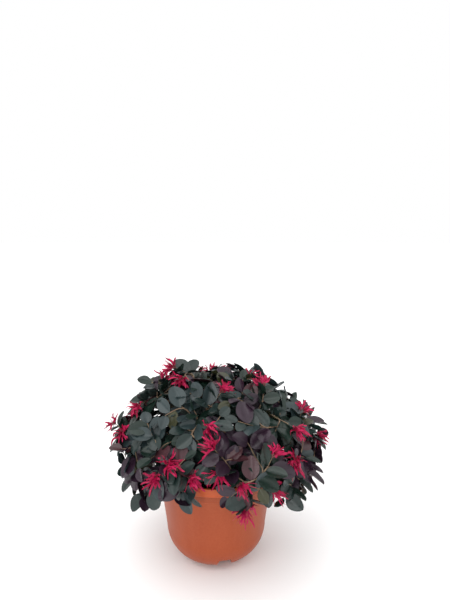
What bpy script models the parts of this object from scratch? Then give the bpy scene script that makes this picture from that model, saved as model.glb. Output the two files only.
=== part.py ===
"""A potted Chinese fringe flower: a low, dense flowering shrub in a terracotta-coloured nursery pot.

Metres, +Z up. The origin is the centre of the pot's flat underside, and -Y is the plant's front.
A short stem stands in the potting mix, a bough runs from it to each mass of foliage, and each
mass is one fused solid of stem, twigs, leaves and fringe-petalled blossom in its own space.
"""

import math
import random

import bmesh
import bpy
from mathutils import Quaternion, Vector
from mathutils.bvhtree import BVHTree

# Pot
RIM_RADIUS = 0.085
POT_HEIGHT = 0.138
POT_WALL = 0.0022
LIP_DEPTH = 0.0115
LIP_STEP = 0.0018
COLLAR_DEPTH = 0.0085
COLLAR_STEP = 0.0007
WALL_TAPER = 0.125
ROUNDING_HEIGHT = 0.044
FOOT_RADIUS = 0.0425
FOOT_HEIGHT = 0.0042
POT_FLOOR = 0.0075
DRAIN_CHANNELS = 5
DRAIN_WIDTH = 0.026
DRAIN_INNER_RADIUS = 0.022
FIRST_DRAIN_ANGLE = -78.5
DRAIN_TOP = 0.024
DRAIN_SLOPE = 36.0
SLOPED_FLOOR = 0.0027
DRAIN_SIDE_SLOPE = 0.2
POT_SEGMENTS = 40

# Potting mix
SOIL_LEVEL = 0.1265
SOIL_FLAT_RADIUS = 0.016
SOIL_EDGE_DROP = 0.005
TOUCH_GAP = 0.0003

# Main stem
STEM_TOP = 0.1560
STEM_RADIUS = 0.0078
STEM_TIP_RADIUS = 0.0056
STEM_FLARE = 0.0055
STEM_FLARE_HEIGHT = 0.0050
STEM_LEAN = Vector((0.0022, -0.0012, 0.0))
STEM_SIDES = 14
STEM_RINGS = 8

# Boughs
BOUGH_ROOT_RADIUS = 0.0029
BOUGH_TIP_RADIUS = 0.0020
BOUGH_END = 0.054
BOUGH_SIDES = 7
BOUGH_RINGS = 5
WHORL_DROPS = {"low": 0.0181, "high": 0.0075}
WHORL_RISE = {"low": 16.0, "high": 38.0}
WHORL_STAGGER = 0.0016

# Crown: how far it reaches from its centre, by elevation in degrees, on four sides
CROWN_CENTRE = Vector((0.0, 0.0, 0.150))
REACH_LEFT = ((-35, 0.135), (-10, 0.150), (4, 0.168), (15, 0.172), (31, 0.147), (40, 0.153),
              (48, 0.163), (57, 0.150), (65, 0.164), (76, 0.141), (90, 0.116))
REACH_RIGHT = ((-35, 0.150), (-12, 0.160), (2, 0.176), (26, 0.171), (36, 0.147), (45, 0.146),
               (57, 0.152), (66, 0.140), (77, 0.139), (90, 0.116))
REACH_FRONT = ((-35, 0.130), (0, 0.140), (20, 0.150), (50, 0.150), (75, 0.130), (90, 0.116))
REACH_BACK = ((-35, 0.140), (0, 0.152), (30, 0.152), (60, 0.150), (90, 0.116))
REACH_SLACK = 0.004
LOWEST_FOLIAGE = 0.104
FRONT_EDGE_SLOPE = 0.50
SPACE_MARGIN = 0.0004

# Masses of foliage: name, azimuth and elevation of its middle, and the tier its bough leaves from
MASSES = (
    ("mass_left", 180, 8, "low"),
    ("mass_front_left", 231, 10, "low"),
    ("mass_front", 283, 12, "low"),
    ("mass_right_front", 334, 9, "low"),
    ("mass_right_back", 26, 8, "low"),
    ("mass_back", 77, 6, "low"),
    ("mass_back_left", 129, 6, "low"),
    ("mass_upper_left", 180, 47, "high"),
    ("mass_upper_front_left", 250, 46, "high"),
    ("mass_upper_front_right", 322, 46, "high"),
    ("mass_upper_right", 36, 46, "high"),
    ("mass_upper_back", 108, 46, "high"),
    ("mass_top_left", 176, 77, "top"),
    ("mass_top_right", 2, 74, "top"),
)

# Shoots that make the crown's furthest tips, as azimuth and elevation in degrees
LEADERS = ((180, 3), (180, 48), (172, 100), (0, 1), (0, 25), (20, 76), (348, 57), (90, 20))
# Clusters of blossom on the front, as azimuth and elevation in degrees
BLOSSOMS = ((179, 65), (174, 54), (215, 66), (192, 36), (200, 20), (179, 15), (244, 17), (236, 9),
            (256, 11), (265, 39), (270, 27), (273, 15), (284, 9), (302, 1), (304, 19), (318, 14),
            (337, 56), (14, 65), (280, 66), (352, 28), (325, 28), (355, 11))
BACK_BLOSSOM_SHARE = 0.22
# Shoots that spill over the front of the rim: where each ends, and whether it ends in blossom
SPILLS = (
    (Vector((0.041, -0.101, 0.124)), True),
    (Vector((-0.030, -0.098, 0.137)), False),
    (Vector((0.018, -0.102, 0.136)), False),
)

# Twigs, leaves and petals
TWIG_ROOT_RADIUS = 0.0013
TWIG_TIP_RADIUS = 0.0007
STEM_GAP = 0.0003
MASS_STEM_RADIUS = 0.0020
MASS_STEM_SHARE = 0.66
FORKS_PER_TWIG = 5
FORK_SPACING = 0.0045
FORK_JITTER = 0.0002
WIDEST_FORK = 68.0
TIP_SPACING = 15.0
INNER_TIP_SPACING = 24.0
INNER_REACH = 0.80
LEAF_LENGTH = 0.039
LEAF_WIDTH = 0.0265
LEAF_FOLD = 0.0009
LEAF_SPACING = 0.0085
LEAF_SINK = 0.0022
LEAFY_SHARE = 0.85
LEAVES_ON_OUTER_SHOOT = 5
LEAVES_ON_INNER_SHOOT = 3
LEAF_TRIES = 9
LEAF_CLEARANCE = 0.0007
KEPT_SHARE = 0.97
UNION_TRIES = 8
PETAL_LENGTH = 0.022
PETAL_WIDTH = 0.0030
PETAL_THICKNESS = 0.0012
PETALS = 5
BUD_RADIUS = 0.0027
SEED = 41

LEAF_COLOUR = (0.035, 0.055, 0.048)
PETAL_COLOUR = (0.55, 0.012, 0.075)
TWIG_COLOUR = (0.20, 0.13, 0.08)
BARK_COLOUR = (0.17, 0.11, 0.075)
POT_COLOUR = (0.42, 0.115, 0.055)
SOIL_COLOUR = (0.035, 0.022, 0.014)

UP = Vector((0.0, 0.0, 1.0))


def direction(azimuth, elevation):
    """The unit vector at an azimuth from +X towards +Y and an elevation, both in degrees."""
    a = math.radians(azimuth)
    e = math.radians(elevation)
    return Vector((math.cos(e) * math.cos(a), math.cos(e) * math.sin(a), math.sin(e)))


def make_material(name, colour, roughness, metallic=0.0):
    """A plain Principled material."""
    material = bpy.data.materials.get(name)
    if material is None:
        material = bpy.data.materials.new(name)
        material.use_nodes = True
        material.diffuse_color = (*colour, 1.0)
        shader = material.node_tree.nodes["Principled BSDF"]
        shader.inputs["Base Color"].default_value = (*colour, 1.0)
        shader.inputs["Roughness"].default_value = roughness
        shader.inputs["Metallic"].default_value = metallic
    return material


def make_mesh(name, points, faces):
    """A closed mesh with its faces turned outwards."""
    mesh = bpy.data.meshes.new(name)
    mesh.from_pydata([tuple(p) for p in points], [], faces)
    shell = bmesh.new()
    shell.from_mesh(mesh)
    bmesh.ops.recalc_face_normals(shell, faces=shell.faces)
    shell.to_mesh(mesh)
    shell.free()
    return mesh


def make_object(name, mesh, material):
    """An object in the scene, with its own material."""
    mesh.materials.clear()
    mesh.materials.append(material)
    obj = bpy.data.objects.new(name, mesh)
    bpy.context.scene.collection.objects.link(obj)
    return obj


# Pot and potting mix


def wall_radius(z):
    """The pot's outer radius below its lip, at height z."""
    collar_foot = POT_HEIGHT - LIP_DEPTH - COLLAR_DEPTH
    straight = RIM_RADIUS - LIP_STEP - COLLAR_STEP - WALL_TAPER * (collar_foot - z)
    if z >= ROUNDING_HEIGHT:
        return straight
    side = RIM_RADIUS - LIP_STEP - COLLAR_STEP - WALL_TAPER * (collar_foot - ROUNDING_HEIGHT)
    drop = (ROUNDING_HEIGHT - z) / (ROUNDING_HEIGHT - FOOT_HEIGHT)
    return FOOT_RADIUS + (side - FOOT_RADIUS) * math.sqrt(max(0.0, 1.0 - drop ** 2))


def outer_profile():
    """The pot's outer side as (radius, height), from the underside's centre to the rim."""
    lip_foot = POT_HEIGHT - LIP_DEPTH
    collar_foot = lip_foot - COLLAR_DEPTH
    collar_radius = RIM_RADIUS - LIP_STEP
    profile = [(FOOT_RADIUS - 0.0006, 0.0), (FOOT_RADIUS, FOOT_HEIGHT)]
    steps = 5
    for i in range(1, steps + 1):
        turn = math.radians(90.0 * i / steps)
        z = ROUNDING_HEIGHT - (ROUNDING_HEIGHT - FOOT_HEIGHT) * math.cos(turn)
        profile.append((wall_radius(z), z))
    profile.append((collar_radius - COLLAR_STEP, collar_foot - 0.001))
    profile.append((collar_radius, collar_foot))
    profile.append((collar_radius, lip_foot - 0.001))
    profile.append((RIM_RADIUS - 0.0003, lip_foot))
    profile.append((RIM_RADIUS, POT_HEIGHT - 0.0012))
    profile.append((RIM_RADIUS - 0.0009, POT_HEIGHT))
    return profile


def channel_slope():
    """The rise of the drain channels' roof for each metre outwards."""
    return math.tan(math.radians(DRAIN_SLOPE))


def inner_radius(z):
    """The radius inside the pot at height z: low down, a sloped floor covers the drain channels."""
    sloped = wall_radius(DRAIN_TOP) - (DRAIN_TOP + SLOPED_FLOOR - z) / channel_slope()
    return min(wall_radius(z) - POT_WALL, sloped)


def channel_section():
    """A drain channel as (radius, height): through the foot, then sloping up through the wall."""
    roof = FOOT_HEIGHT - 0.0007
    below = -0.010
    knee = wall_radius(DRAIN_TOP) - (DRAIN_TOP - roof) / channel_slope()
    end_roof = DRAIN_TOP + (RIM_RADIUS - wall_radius(DRAIN_TOP)) * channel_slope()
    return [(DRAIN_INNER_RADIUS, below), (DRAIN_INNER_RADIUS, roof), (knee, roof),
            (RIM_RADIUS, end_roof), (RIM_RADIUS, below)]


def inner_profile():
    """The pot's inner side as (radius, height), from the rim down to the floor."""
    profile = [(RIM_RADIUS - LIP_STEP - POT_WALL - 0.0003, POT_HEIGHT)]
    for z in (POT_HEIGHT - LIP_DEPTH - COLLAR_DEPTH, ROUNDING_HEIGHT, 0.026, 0.014, POT_FLOOR):
        profile.append((inner_radius(z), z))
    return profile


def turned_mesh(name, profile, segments):
    """A solid turned about +Z from a profile that starts and ends on the axis."""
    points = []
    rings = []
    for radius, z in profile:
        if radius == 0.0:
            rings.append([len(points)] * segments)
            points.append(Vector((0.0, 0.0, z)))
        else:
            rings.append(list(range(len(points), len(points) + segments)))
            for k in range(segments):
                turn = 2.0 * math.pi * k / segments
                points.append(Vector((radius * math.cos(turn), radius * math.sin(turn), z)))
    faces = []
    for low, high in zip(rings, rings[1:]):
        for k in range(segments):
            n = (k + 1) % segments
            corners = []
            for corner in (low[k], low[n], high[n], high[k]):
                if corner not in corners:
                    corners.append(corner)
            faces.append(corners)
    return make_mesh(name, points, faces)


def build_pot():
    """The pot: a thin shell with a flat lip, a collar, a rounded foot and drain channels."""
    profile = [(0.0, 0.0)] + outer_profile() + inner_profile() + [(0.0, POT_FLOOR)]
    pot = make_object("pot", turned_mesh("pot", profile, POT_SEGMENTS),
                      make_material("pot_plastic", POT_COLOUR, 0.45))
    points = []
    faces = []
    section = channel_section()
    size = len(section)
    for k in range(DRAIN_CHANNELS):
        out = direction(FIRST_DRAIN_ANGLE + 360.0 * k / DRAIN_CHANNELS, 0.0)
        side = UP.cross(out)
        start = len(points)
        for sign in (-1.0, 1.0):
            for radius, z in section:
                half_width = DRAIN_WIDTH / 2.0 - DRAIN_SIDE_SLOPE * z
                points.append(out * radius + side * sign * half_width + UP * z)
        faces.append(list(range(start, start + size)))
        faces.append(list(range(start + size, start + size * 2)))
        for i in range(size):
            n = (i + 1) % size
            faces.append([start + i, start + n, start + size + n, start + size + i])
    cutter = make_object("drain_cutter", make_mesh("drain_cutter", points, faces), pot.data.materials[0])
    cut = pot.modifiers.new("drain_channels", "BOOLEAN")
    cut.operation = "DIFFERENCE"
    cut.object = cutter
    apply_modifiers(pot)
    bpy.data.objects.remove(cutter)
    shade(pot, 35.0)
    return pot


def build_soil():
    """The potting mix: it fills the pot, flat round the stem and lower towards the wall."""
    gap = TOUCH_GAP
    edge = SOIL_LEVEL - SOIL_EDGE_DROP
    bottom = POT_FLOOR + gap
    profile = [(0.0, bottom), (inner_radius(POT_FLOOR) - gap * 3, bottom)]
    for z in (0.014, 0.026, ROUNDING_HEIGHT, POT_HEIGHT - LIP_DEPTH - COLLAR_DEPTH):
        profile.append((inner_radius(z) - gap * 3, z))
    profile.append((inner_radius(edge) - gap * 3, edge))
    profile.append((0.052, SOIL_LEVEL - SOIL_EDGE_DROP * 0.35))
    profile.append((SOIL_FLAT_RADIUS, SOIL_LEVEL))
    profile.append((0.0, SOIL_LEVEL))
    soil = make_object("soil", turned_mesh("soil", profile, 24),
                       make_material("potting_mix", SOIL_COLOUR, 0.95))
    shade(soil, 40.0)
    return soil


# Stem and boughs


def stem_radius(z):
    """The main stem's mean radius at height z, with its root flare."""
    along = (z - SOIL_LEVEL) / (STEM_TOP - SOIL_LEVEL)
    flare = STEM_FLARE * math.exp(-(z - SOIL_LEVEL) / STEM_FLARE_HEIGHT)
    return STEM_RADIUS + (STEM_TIP_RADIUS - STEM_RADIUS) * along + flare


def stem_axis(z):
    """The middle of the main stem at height z: it leans a little."""
    along = (z - SOIL_LEVEL) / (STEM_TOP - SOIL_LEVEL)
    return STEM_LEAN * along + UP * z


def build_stem():
    """The short main stem, from a flat cut at the potting mix up to its fork."""
    bottom = SOIL_LEVEL + TOUCH_GAP
    points = []
    for ring in range(STEM_RINGS):
        z = bottom + (STEM_TOP - bottom) * (ring / (STEM_RINGS - 1)) ** 1.4
        swell = math.exp(-(z - SOIL_LEVEL) / (STEM_FLARE_HEIGHT * 1.6))
        for k in range(STEM_SIDES):
            turn = 2.0 * math.pi * k / STEM_SIDES
            buttress = 1.0 + swell * 0.16 * math.cos(4.0 * turn + 0.6)
            out = Vector((math.cos(turn), math.sin(turn), 0.0))
            points.append(stem_axis(z) + out * stem_radius(z) * buttress)
    faces = [list(range(STEM_SIDES))]
    faces.append(list(range(STEM_SIDES * (STEM_RINGS - 1), STEM_SIDES * STEM_RINGS)))
    for ring in range(STEM_RINGS - 1):
        for k in range(STEM_SIDES):
            n = (k + 1) % STEM_SIDES
            low = ring * STEM_SIDES
            high = low + STEM_SIDES
            faces.append([low + k, low + n, high + n, high + k])
    stem = make_object("main_stem", make_mesh("main_stem", points, faces),
                       make_material("bark_stem", BARK_COLOUR, 0.85))
    shade(stem, 50.0)
    return stem


def bezier(points, t):
    """A point on the quadratic or cubic curve of these control points."""
    while len(points) > 1:
        points = [a.lerp(b, t) for a, b in zip(points, points[1:])]
    return points[0]


def tube(path, radii, sides):
    """Points and faces of a closed tapering tube; a last radius of 0 ends it in a point."""
    points = []
    faces = []
    rings = []
    side = (path[1] - path[0]).orthogonal().normalized()
    for i, middle in enumerate(path):
        ahead = (path[min(i + 1, len(path) - 1)] - path[max(i - 1, 0)]).normalized()
        side = (side - ahead * side.dot(ahead)).normalized()
        across = ahead.cross(side)
        rings.append(len(points))
        if radii[i] == 0.0:
            points.append(middle.copy())
            continue
        for k in range(sides):
            turn = 2.0 * math.pi * k / sides
            points.append(middle + (side * math.cos(turn) + across * math.sin(turn)) * radii[i])
    faces.append(list(range(sides)))
    for i in range(len(path) - 1):
        for k in range(sides):
            n = (k + 1) % sides
            if radii[i + 1] == 0.0:
                faces.append([rings[i] + k, rings[i] + n, rings[i + 1]])
            else:
                faces.append([rings[i] + k, rings[i] + n, rings[i + 1] + n, rings[i + 1] + k])
    if radii[-1] != 0.0:
        faces.append([rings[-1] + k for k in range(sides)])
    return points, faces


def bough_path(index):
    """The bough's middle line, from the main stem to the foot of its mass."""
    name, azimuth, elevation, tier = MASSES[index]
    end = CROWN_CENTRE + direction(azimuth, elevation) * BOUGH_END
    if tier == "top":
        sign = -1.0 if end.x < 0.0 else 1.0
        start = stem_axis(STEM_TOP) + Vector((sign * STEM_TIP_RADIUS * 0.52, 0.0, TOUCH_GAP))
        lean = Vector((0.0, 0.0, 1.0))
        bend = start + lean * 0.018
        return [bezier([start, bend, end], k / (BOUGH_RINGS - 1)) for k in range(BOUGH_RINGS)]
    z = STEM_TOP - WHORL_DROPS[tier] + WHORL_STAGGER * (-1) ** index
    rise = WHORL_RISE[tier]
    lean = direction(azimuth, rise)
    clear = BOUGH_ROOT_RADIUS * math.sin(math.radians(rise)) / math.cos(math.radians(rise))
    out = stem_radius(z - BOUGH_ROOT_RADIUS) * 1.04 + clear + TOUCH_GAP * 2.0
    start = stem_axis(z) + direction(azimuth, 0.0) * out
    bend = start + lean * (end - start).length * 0.5
    return [bezier([start, bend, end], k / (BOUGH_RINGS - 1)) for k in range(BOUGH_RINGS)]


def build_bough(index):
    """One tapering limb that ends where its mass begins."""
    path = bough_path(index)
    radii = []
    for k in range(BOUGH_RINGS):
        share = k / (BOUGH_RINGS - 1)
        radii.append(BOUGH_ROOT_RADIUS + (BOUGH_TIP_RADIUS - BOUGH_ROOT_RADIUS) * share)
    name = MASSES[index][0].replace("mass", "bough")
    if MASSES[index][3] == "top":
        radii[0] = STEM_TIP_RADIUS * 0.40
    points, faces = tube(path, radii, BOUGH_SIDES)
    bough = make_object(name, make_mesh(name, points, faces),
                        make_material("bark_" + name, BARK_COLOUR, 0.85))
    shade(bough, 50.0)
    return bough


# The crown's space


def along_profile(profile, elevation):
    """The reach at an elevation, read straight between a profile's points."""
    for (low, near), (high, far) in zip(profile, profile[1:]):
        if elevation <= high:
            share = max(0.0, elevation - low) / (high - low)
            return near + (far - near) * share
    return profile[-1][1]


def crown_reach(out):
    """How far the crown reaches from its centre in the direction of a unit vector."""
    elevation = math.degrees(math.asin(max(-1.0, min(1.0, out.z))))
    flat = math.hypot(out.x, out.y) + 1e-9
    x = out.x / flat
    y = out.y / flat
    reach = max(x, 0.0) ** 2 * along_profile(REACH_RIGHT, elevation)
    reach += max(-x, 0.0) ** 2 * along_profile(REACH_LEFT, elevation)
    reach += max(y, 0.0) ** 2 * along_profile(REACH_BACK, elevation)
    reach += max(-y, 0.0) ** 2 * along_profile(REACH_FRONT, elevation)
    return reach


def lowest_foliage(point):
    """The height that foliage stays above: it lifts at the front, where the lip shows."""
    flat = math.hypot(point.x, point.y) + 1e-9
    front = max(0.0, -point.y / flat) ** 6
    lip = POT_HEIGHT + max(0.0, flat - RIM_RADIUS + 0.005) * FRONT_EDGE_SLOPE
    return LOWEST_FOLIAGE + front * (lip - LOWEST_FOLIAGE)


AXES = [direction(azimuth, elevation) for name, azimuth, elevation, tier in MASSES]


def space_walls(index):
    """The planes through the crown's centre that part a mass's space from its neighbours'."""
    return [(AXES[index] - other).normalized() for k, other in enumerate(AXES) if k != index]


def in_space(point, walls, spilling):
    """Whether a point is in a mass's own space."""
    out = point - CROWN_CENTRE
    length = out.length
    if length > crown_reach(out / length) + REACH_SLACK:
        return False
    if any(out.dot(wall) < SPACE_MARGIN for wall in walls):
        return False
    return spilling or point.z > lowest_foliage(point)


def owner(out):
    """The index of the mass whose axis is nearest to a direction."""
    return max(range(len(AXES)), key=lambda k: AXES[k].dot(out))


def scattered_tips(rng):
    """Directions for the shoots' tips, evenly spread: outer shoots first, then inner ones."""
    leaders = [(direction(*pair), True, False) for pair in LEADERS]
    blossoms = [(direction(*pair), True, True) for pair in BLOSSOMS]
    tips = blossoms + leaders
    count = 4000
    golden = math.pi * (3.0 - math.sqrt(5.0))
    spread = []
    for k in range(count):
        z = -0.42 + 1.42 * (k + 0.5) / count
        flat = math.sqrt(1.0 - z * z)
        spread.append(Vector((flat * math.cos(k * golden), flat * math.sin(k * golden), z)))
    rng.shuffle(spread)
    for outer, spacing in ((True, TIP_SPACING), (False, INNER_TIP_SPACING)):
        nearest = math.cos(math.radians(spacing))
        for out in spread:
            share = 0.86 if outer else INNER_REACH
            if (CROWN_CENTRE + out * crown_reach(out) * share).z < lowest_foliage(
                    CROWN_CENTRE + out * crown_reach(out) * share) + 0.006:
                continue
            if all(out.dot(tip[0]) < nearest for tip in tips if tip[1] == outer):
                hidden_side = out.y > 0.25
                flowering = outer and hidden_side and rng.random() < BACK_BLOSSOM_SHARE
                tips.append((out, outer, flowering))
    return tips


# Foliage


def leaf_shape(length, width, fold, grow=0.0):
    """A leaf's six corners: foot, two on each side and tip, with its blade along +X."""
    droop = -0.03 * length
    return [Vector((-grow, 0.0, 0.0)),
            Vector((0.28 * length, 0.46 * width + grow, fold)),
            Vector((0.70 * length, 0.42 * width + grow, fold)),
            Vector((length + grow, 0.0, droop)),
            Vector((0.70 * length, -0.42 * width - grow, fold)),
            Vector((0.28 * length, -0.46 * width - grow, fold))]


LEAF_FACES = ((0, 1, 5), (1, 4, 5), (1, 2, 4), (2, 3, 4), (3, 2, 1), (3, 1, 0), (3, 0, 5), (3, 5, 4))


def placed(points, foot, along, normal):
    """Points moved from their own frame to a foot, with +X along the blade and +Z its normal."""
    across = normal.cross(along)
    return [foot + along * p.x + across * p.y + normal * p.z for p in points]


def leaf_bearing(tangent, lift, side, rng, terminal):
    """A leaf's direction and normal from its twig's tangent and the way the crown's surface faces."""
    sideways = tangent.cross(lift).normalized() * side
    sideways = Quaternion(tangent, math.radians(rng.uniform(-38, 38))) @ sideways
    spread = math.radians(rng.uniform(0, 16) if terminal else rng.uniform(44, 74))
    along = (tangent * math.cos(spread) + sideways * math.sin(spread)).normalized()
    facing = lift + Vector([rng.uniform(-0.42, 0.42) for axis in range(3)])
    normal = facing - along * facing.dot(along)
    return along, normal.normalized()


def petal_shape(length, width, thickness, bend):
    """A petal's five corners: foot, three round its middle and tip."""
    middle = 0.52 * length
    return [Vector((0.0, 0.0, 0.0)),
            Vector((middle, width / 2.0, bend)),
            Vector((middle, -width / 2.0, bend)),
            Vector((middle, 0.0, bend + thickness)),
            Vector((length, 0.0, -bend * 0.4))]


PETAL_FACES = ((0, 1, 2), (0, 2, 3), (0, 3, 1), (4, 2, 1), (4, 3, 2), (4, 1, 3))


class Obstacles:
    """Shapes already placed, as small search trees with their bounding spheres."""

    def __init__(self):
        self.trees = []

    def add(self, points, faces, mass=None, kind=None):
        """Keep a shape, with the mass that it belongs to and its kind."""
        middle = sum(points, Vector()) / len(points)
        radius = max((p - middle).length for p in points)
        self.trees.append((middle, radius, BVHTree.FromPolygons(points, faces), mass, kind))

    def hit(self, points, faces, own_mass=None, own_kind=None):
        """Whether a shape would cross one kept here, other than its own mass's of one kind."""
        middle = sum(points, Vector()) / len(points)
        radius = max((p - middle).length for p in points)
        tree = BVHTree.FromPolygons(points, faces)
        for other, size, shape, mass, kind in self.trees:
            if mass == own_mass and kind == own_kind and kind is not None:
                continue
            if (other - middle).length < radius + size and tree.overlap(shape):
                return True
        return False


def add_limb_obstacles(obstacles):
    """The pot, the potting mix, the main stem and the boughs, each a little fatter than it is."""
    grow = 0.0012
    lip = [(RIM_RADIUS + grow, POT_HEIGHT - LIP_DEPTH), (RIM_RADIUS + grow, POT_HEIGHT + grow),
           (RIM_RADIUS - 0.006, POT_HEIGHT + grow), (RIM_RADIUS - 0.006, SOIL_LEVEL),
           (0.0, SOIL_LEVEL + grow * 1.5)]
    profile = [(0.0, 0.06), (wall_radius(0.06) + grow, 0.06)] + lip
    points = []
    faces = []
    segments = 36
    for radius, z in profile:
        for k in range(segments):
            points.append(direction(360.0 * k / segments, 0.0) * radius + UP * z)
    for ring in range(len(profile) - 1):
        for k in range(segments):
            n = (k + 1) % segments
            low = ring * segments
            faces.append([low + k, low + n, low + segments + n, low + segments + k])
    obstacles.add(points, faces)
    for index in range(len(MASSES)):
        path = bough_path(index)
        radii = [BOUGH_ROOT_RADIUS + grow] * len(path)
        obstacles.add(*tube(path, radii, BOUGH_SIDES))
    trunk = [stem_axis(SOIL_LEVEL), stem_axis(STEM_TOP)]
    obstacles.add(*tube(trunk, [stem_radius(SOIL_LEVEL) * 1.1, STEM_TIP_RADIUS + grow], STEM_SIDES))


class Mass:
    """One mass of foliage while it grows: its stem, its shoots and what they carry."""

    def __init__(self, index, obstacles):
        self.index = index
        self.walls = space_walls(index)
        self.axis = AXES[index]
        self.obstacles = obstacles
        self.pieces = []
        self.shoots = []
        self.forks = []
        self.rng = random.Random(SEED * 100 + index)
        limb = bough_path(index)
        ahead = (limb[-1] - limb[-2]).normalized()
        foot = limb[-1] + ahead * STEM_GAP
        end = CROWN_CENTRE + self.axis * crown_reach(self.axis) * MASS_STEM_SHARE
        self.stem = [foot, foot + ahead * (end - foot).length * 0.4, end]

    def keep(self, kind, points, faces):
        self.pieces.append((kind, points, faces))

    def grow_stem(self):
        """The mass's own stem, from its bough's tip outwards."""
        radii = [MASS_STEM_RADIUS, MASS_STEM_RADIUS * 0.85, TWIG_ROOT_RADIUS]
        self.keep("twig", *tube(self.stem, radii, 3))
        self.offer_forks(self.stem, 0.12, 0.97)

    def offer_forks(self, path, first, last):
        """Note places along a twig's middle line where others may branch from it."""
        total = sum((b - a).length for a, b in zip(path, path[1:]))
        for k in range(FORKS_PER_TWIG):
            from_tip = total * (1.0 - first - (last - first) * k / (FORKS_PER_TWIG - 1))
            self.forks.append(back_from_tip(path, from_tip))

    def nearest_fork(self, tip):
        """The place on the mass's twigs that a new shoot best branches from."""
        best = None
        for point, ahead in self.forks:
            way = tip - point
            turn = way.angle(ahead)
            if turn > math.radians(WIDEST_FORK):
                continue
            cost = way.length * (1.0 + 0.35 * turn)
            if best is None or cost < best[0]:
                best = (cost, point, ahead)
        return best

    def grow_shoot(self, out, outer, flowering, tip=None):
        """A curved twig from the nearest fork to just short of the crown's edge."""
        rng = self.rng
        spilling = tip is not None
        if not spilling:
            reach = crown_reach(out)
            inset = PETAL_LENGTH * 0.8 if flowering else LEAF_LENGTH * 0.8
            if outer:
                tip = CROWN_CENTRE + out * (reach * rng.uniform(0.96, 1.0) - inset)
            else:
                tip = CROWN_CENTRE + out * (reach * INNER_REACH - inset * 0.6)
        fork = self.nearest_fork(tip)
        if fork is None:
            return
        cost, start, ahead = fork
        start = start + Vector([rng.uniform(-FORK_JITTER, FORK_JITTER) for axis in range(3)])
        length = (tip - start).length
        bend = start + ahead * length * 0.38 + UP * length * 0.08
        if spilling:
            bend = start.lerp(tip, 0.62) + UP * 0.016 + out * 0.012
        curve = [start, bend, tip]
        spans = 3 if spilling else 2
        path = [bezier(curve, k / spans) for k in range(spans + 1)]
        if not all(in_space(p, self.walls, spilling) for p in path[1:]):
            return
        radii = [TWIG_ROOT_RADIUS + (TWIG_TIP_RADIUS - TWIG_ROOT_RADIUS) * k / spans
                 for k in range(spans + 1)]
        points, faces = tube(path, radii, 3)
        if self.obstacles.hit(points, faces, self.index, "twig"):
            return
        self.keep("twig", points, faces)
        self.shoots.append((path, outer, flowering, spilling))
        self.obstacles.add(points, faces, self.index, "twig")
        self.forks = [fork for fork in self.forks if (fork[0] - start).length > FORK_SPACING]
        self.offer_forks(path, 0.25, 0.6)

    def grow_blossom(self, shoot):
        """A cluster of thin petals that burst from a bud at a shoot's tip."""
        path, outer, flowering, spilling = shoot
        rng = self.rng
        tip = path[-1]
        ahead = (path[-1] - path[-2]).normalized()
        if spilling:
            ahead = (ahead - UP * 1.3).normalized()
        side = ahead.orthogonal().normalized()
        across = ahead.cross(side)
        bud = [tip + ahead * BUD_RADIUS, tip - ahead * BUD_RADIUS, tip + side * BUD_RADIUS,
               tip - side * BUD_RADIUS, tip + across * BUD_RADIUS, tip - across * BUD_RADIUS]
        bud_faces = [(a, b, c) for a in (0, 1) for b in (2, 3) for c in (4, 5)]
        self.keep("petal", bud, bud_faces)
        for k in range(PETALS):
            for attempt in range(4):
                turn = 2.0 * math.pi * (k + rng.uniform(-0.25, 0.25)) / PETALS
                open_angle = math.radians(rng.uniform(22, 86))
                round_way = side * math.cos(turn) + across * math.sin(turn)
                along = ahead * math.cos(open_angle) + round_way * math.sin(open_angle)
                along = (along - UP * 0.25).normalized()
                normal = ahead - along * ahead.dot(along)
                length = PETAL_LENGTH * rng.uniform(0.78, 1.05)
                shape = petal_shape(length, PETAL_WIDTH, PETAL_THICKNESS, rng.uniform(0.0, 0.0035))
                points = placed(shape, tip, along, normal.normalized())
                beyond = [tip + along * BUD_RADIUS * 1.6] + points[1:]
                if not all(in_space(p, self.walls, spilling) for p in points):
                    continue
                if self.obstacles.hit(beyond, PETAL_FACES):
                    continue
                self.keep("petal", points, PETAL_FACES)
                self.obstacles.add(beyond, PETAL_FACES, self.index, "petal")
                break

    def grow_leaf(self, shoot, rank):
        """The leaf of this rank, counted back from the shoot's tip, if there is room for it."""
        path, outer, flowering, spilling = shoot
        rng = self.rng
        from_tip = LEAF_SINK + LEAF_SPACING * (rank + (0.7 if flowering else 0.0))
        if from_tip > LEAFY_SHARE * sum((b - a).length for a, b in zip(path, path[1:])):
            return
        point, tangent = back_from_tip(path, from_tip)
        out = (point - CROWN_CENTRE).normalized()
        terminal = rank == 0 and not flowering
        for attempt in range(LEAF_TRIES):
            lift = (out * 0.75 + UP * 0.6).normalized()
            if spilling:
                lift = out
            side = -1.0 if (rank + attempt // 5) % 2 else 1.0
            along, normal = leaf_bearing(tangent, lift, side, rng, terminal)
            size = rng.uniform(0.84, 1.10) * (0.86 if terminal else 1.0) * (0.96 ** attempt)
            length = LEAF_LENGTH * size
            width = LEAF_WIDTH * size
            points = placed(leaf_shape(length, width, LEAF_FOLD), point, along, normal)
            if not all(in_space(p, self.walls, spilling) for p in points[1:]):
                continue
            fat = leaf_shape(length, width, LEAF_FOLD + LEAF_CLEARANCE * 2.0, LEAF_CLEARANCE)
            fat[0] = Vector((TWIG_ROOT_RADIUS * 2.6, 0.0, -LEAF_CLEARANCE))
            fat[3].z -= LEAF_CLEARANCE * 2.0
            beyond = placed(fat, point, along, normal)
            if self.obstacles.hit(beyond, LEAF_FACES):
                continue
            self.keep("leaf", points, LEAF_FACES)
            solid = list(points)
            solid[0] = point + along * TWIG_ROOT_RADIUS * 2.6
            self.obstacles.add(solid, LEAF_FACES, self.index, "leaf")
            return


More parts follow.
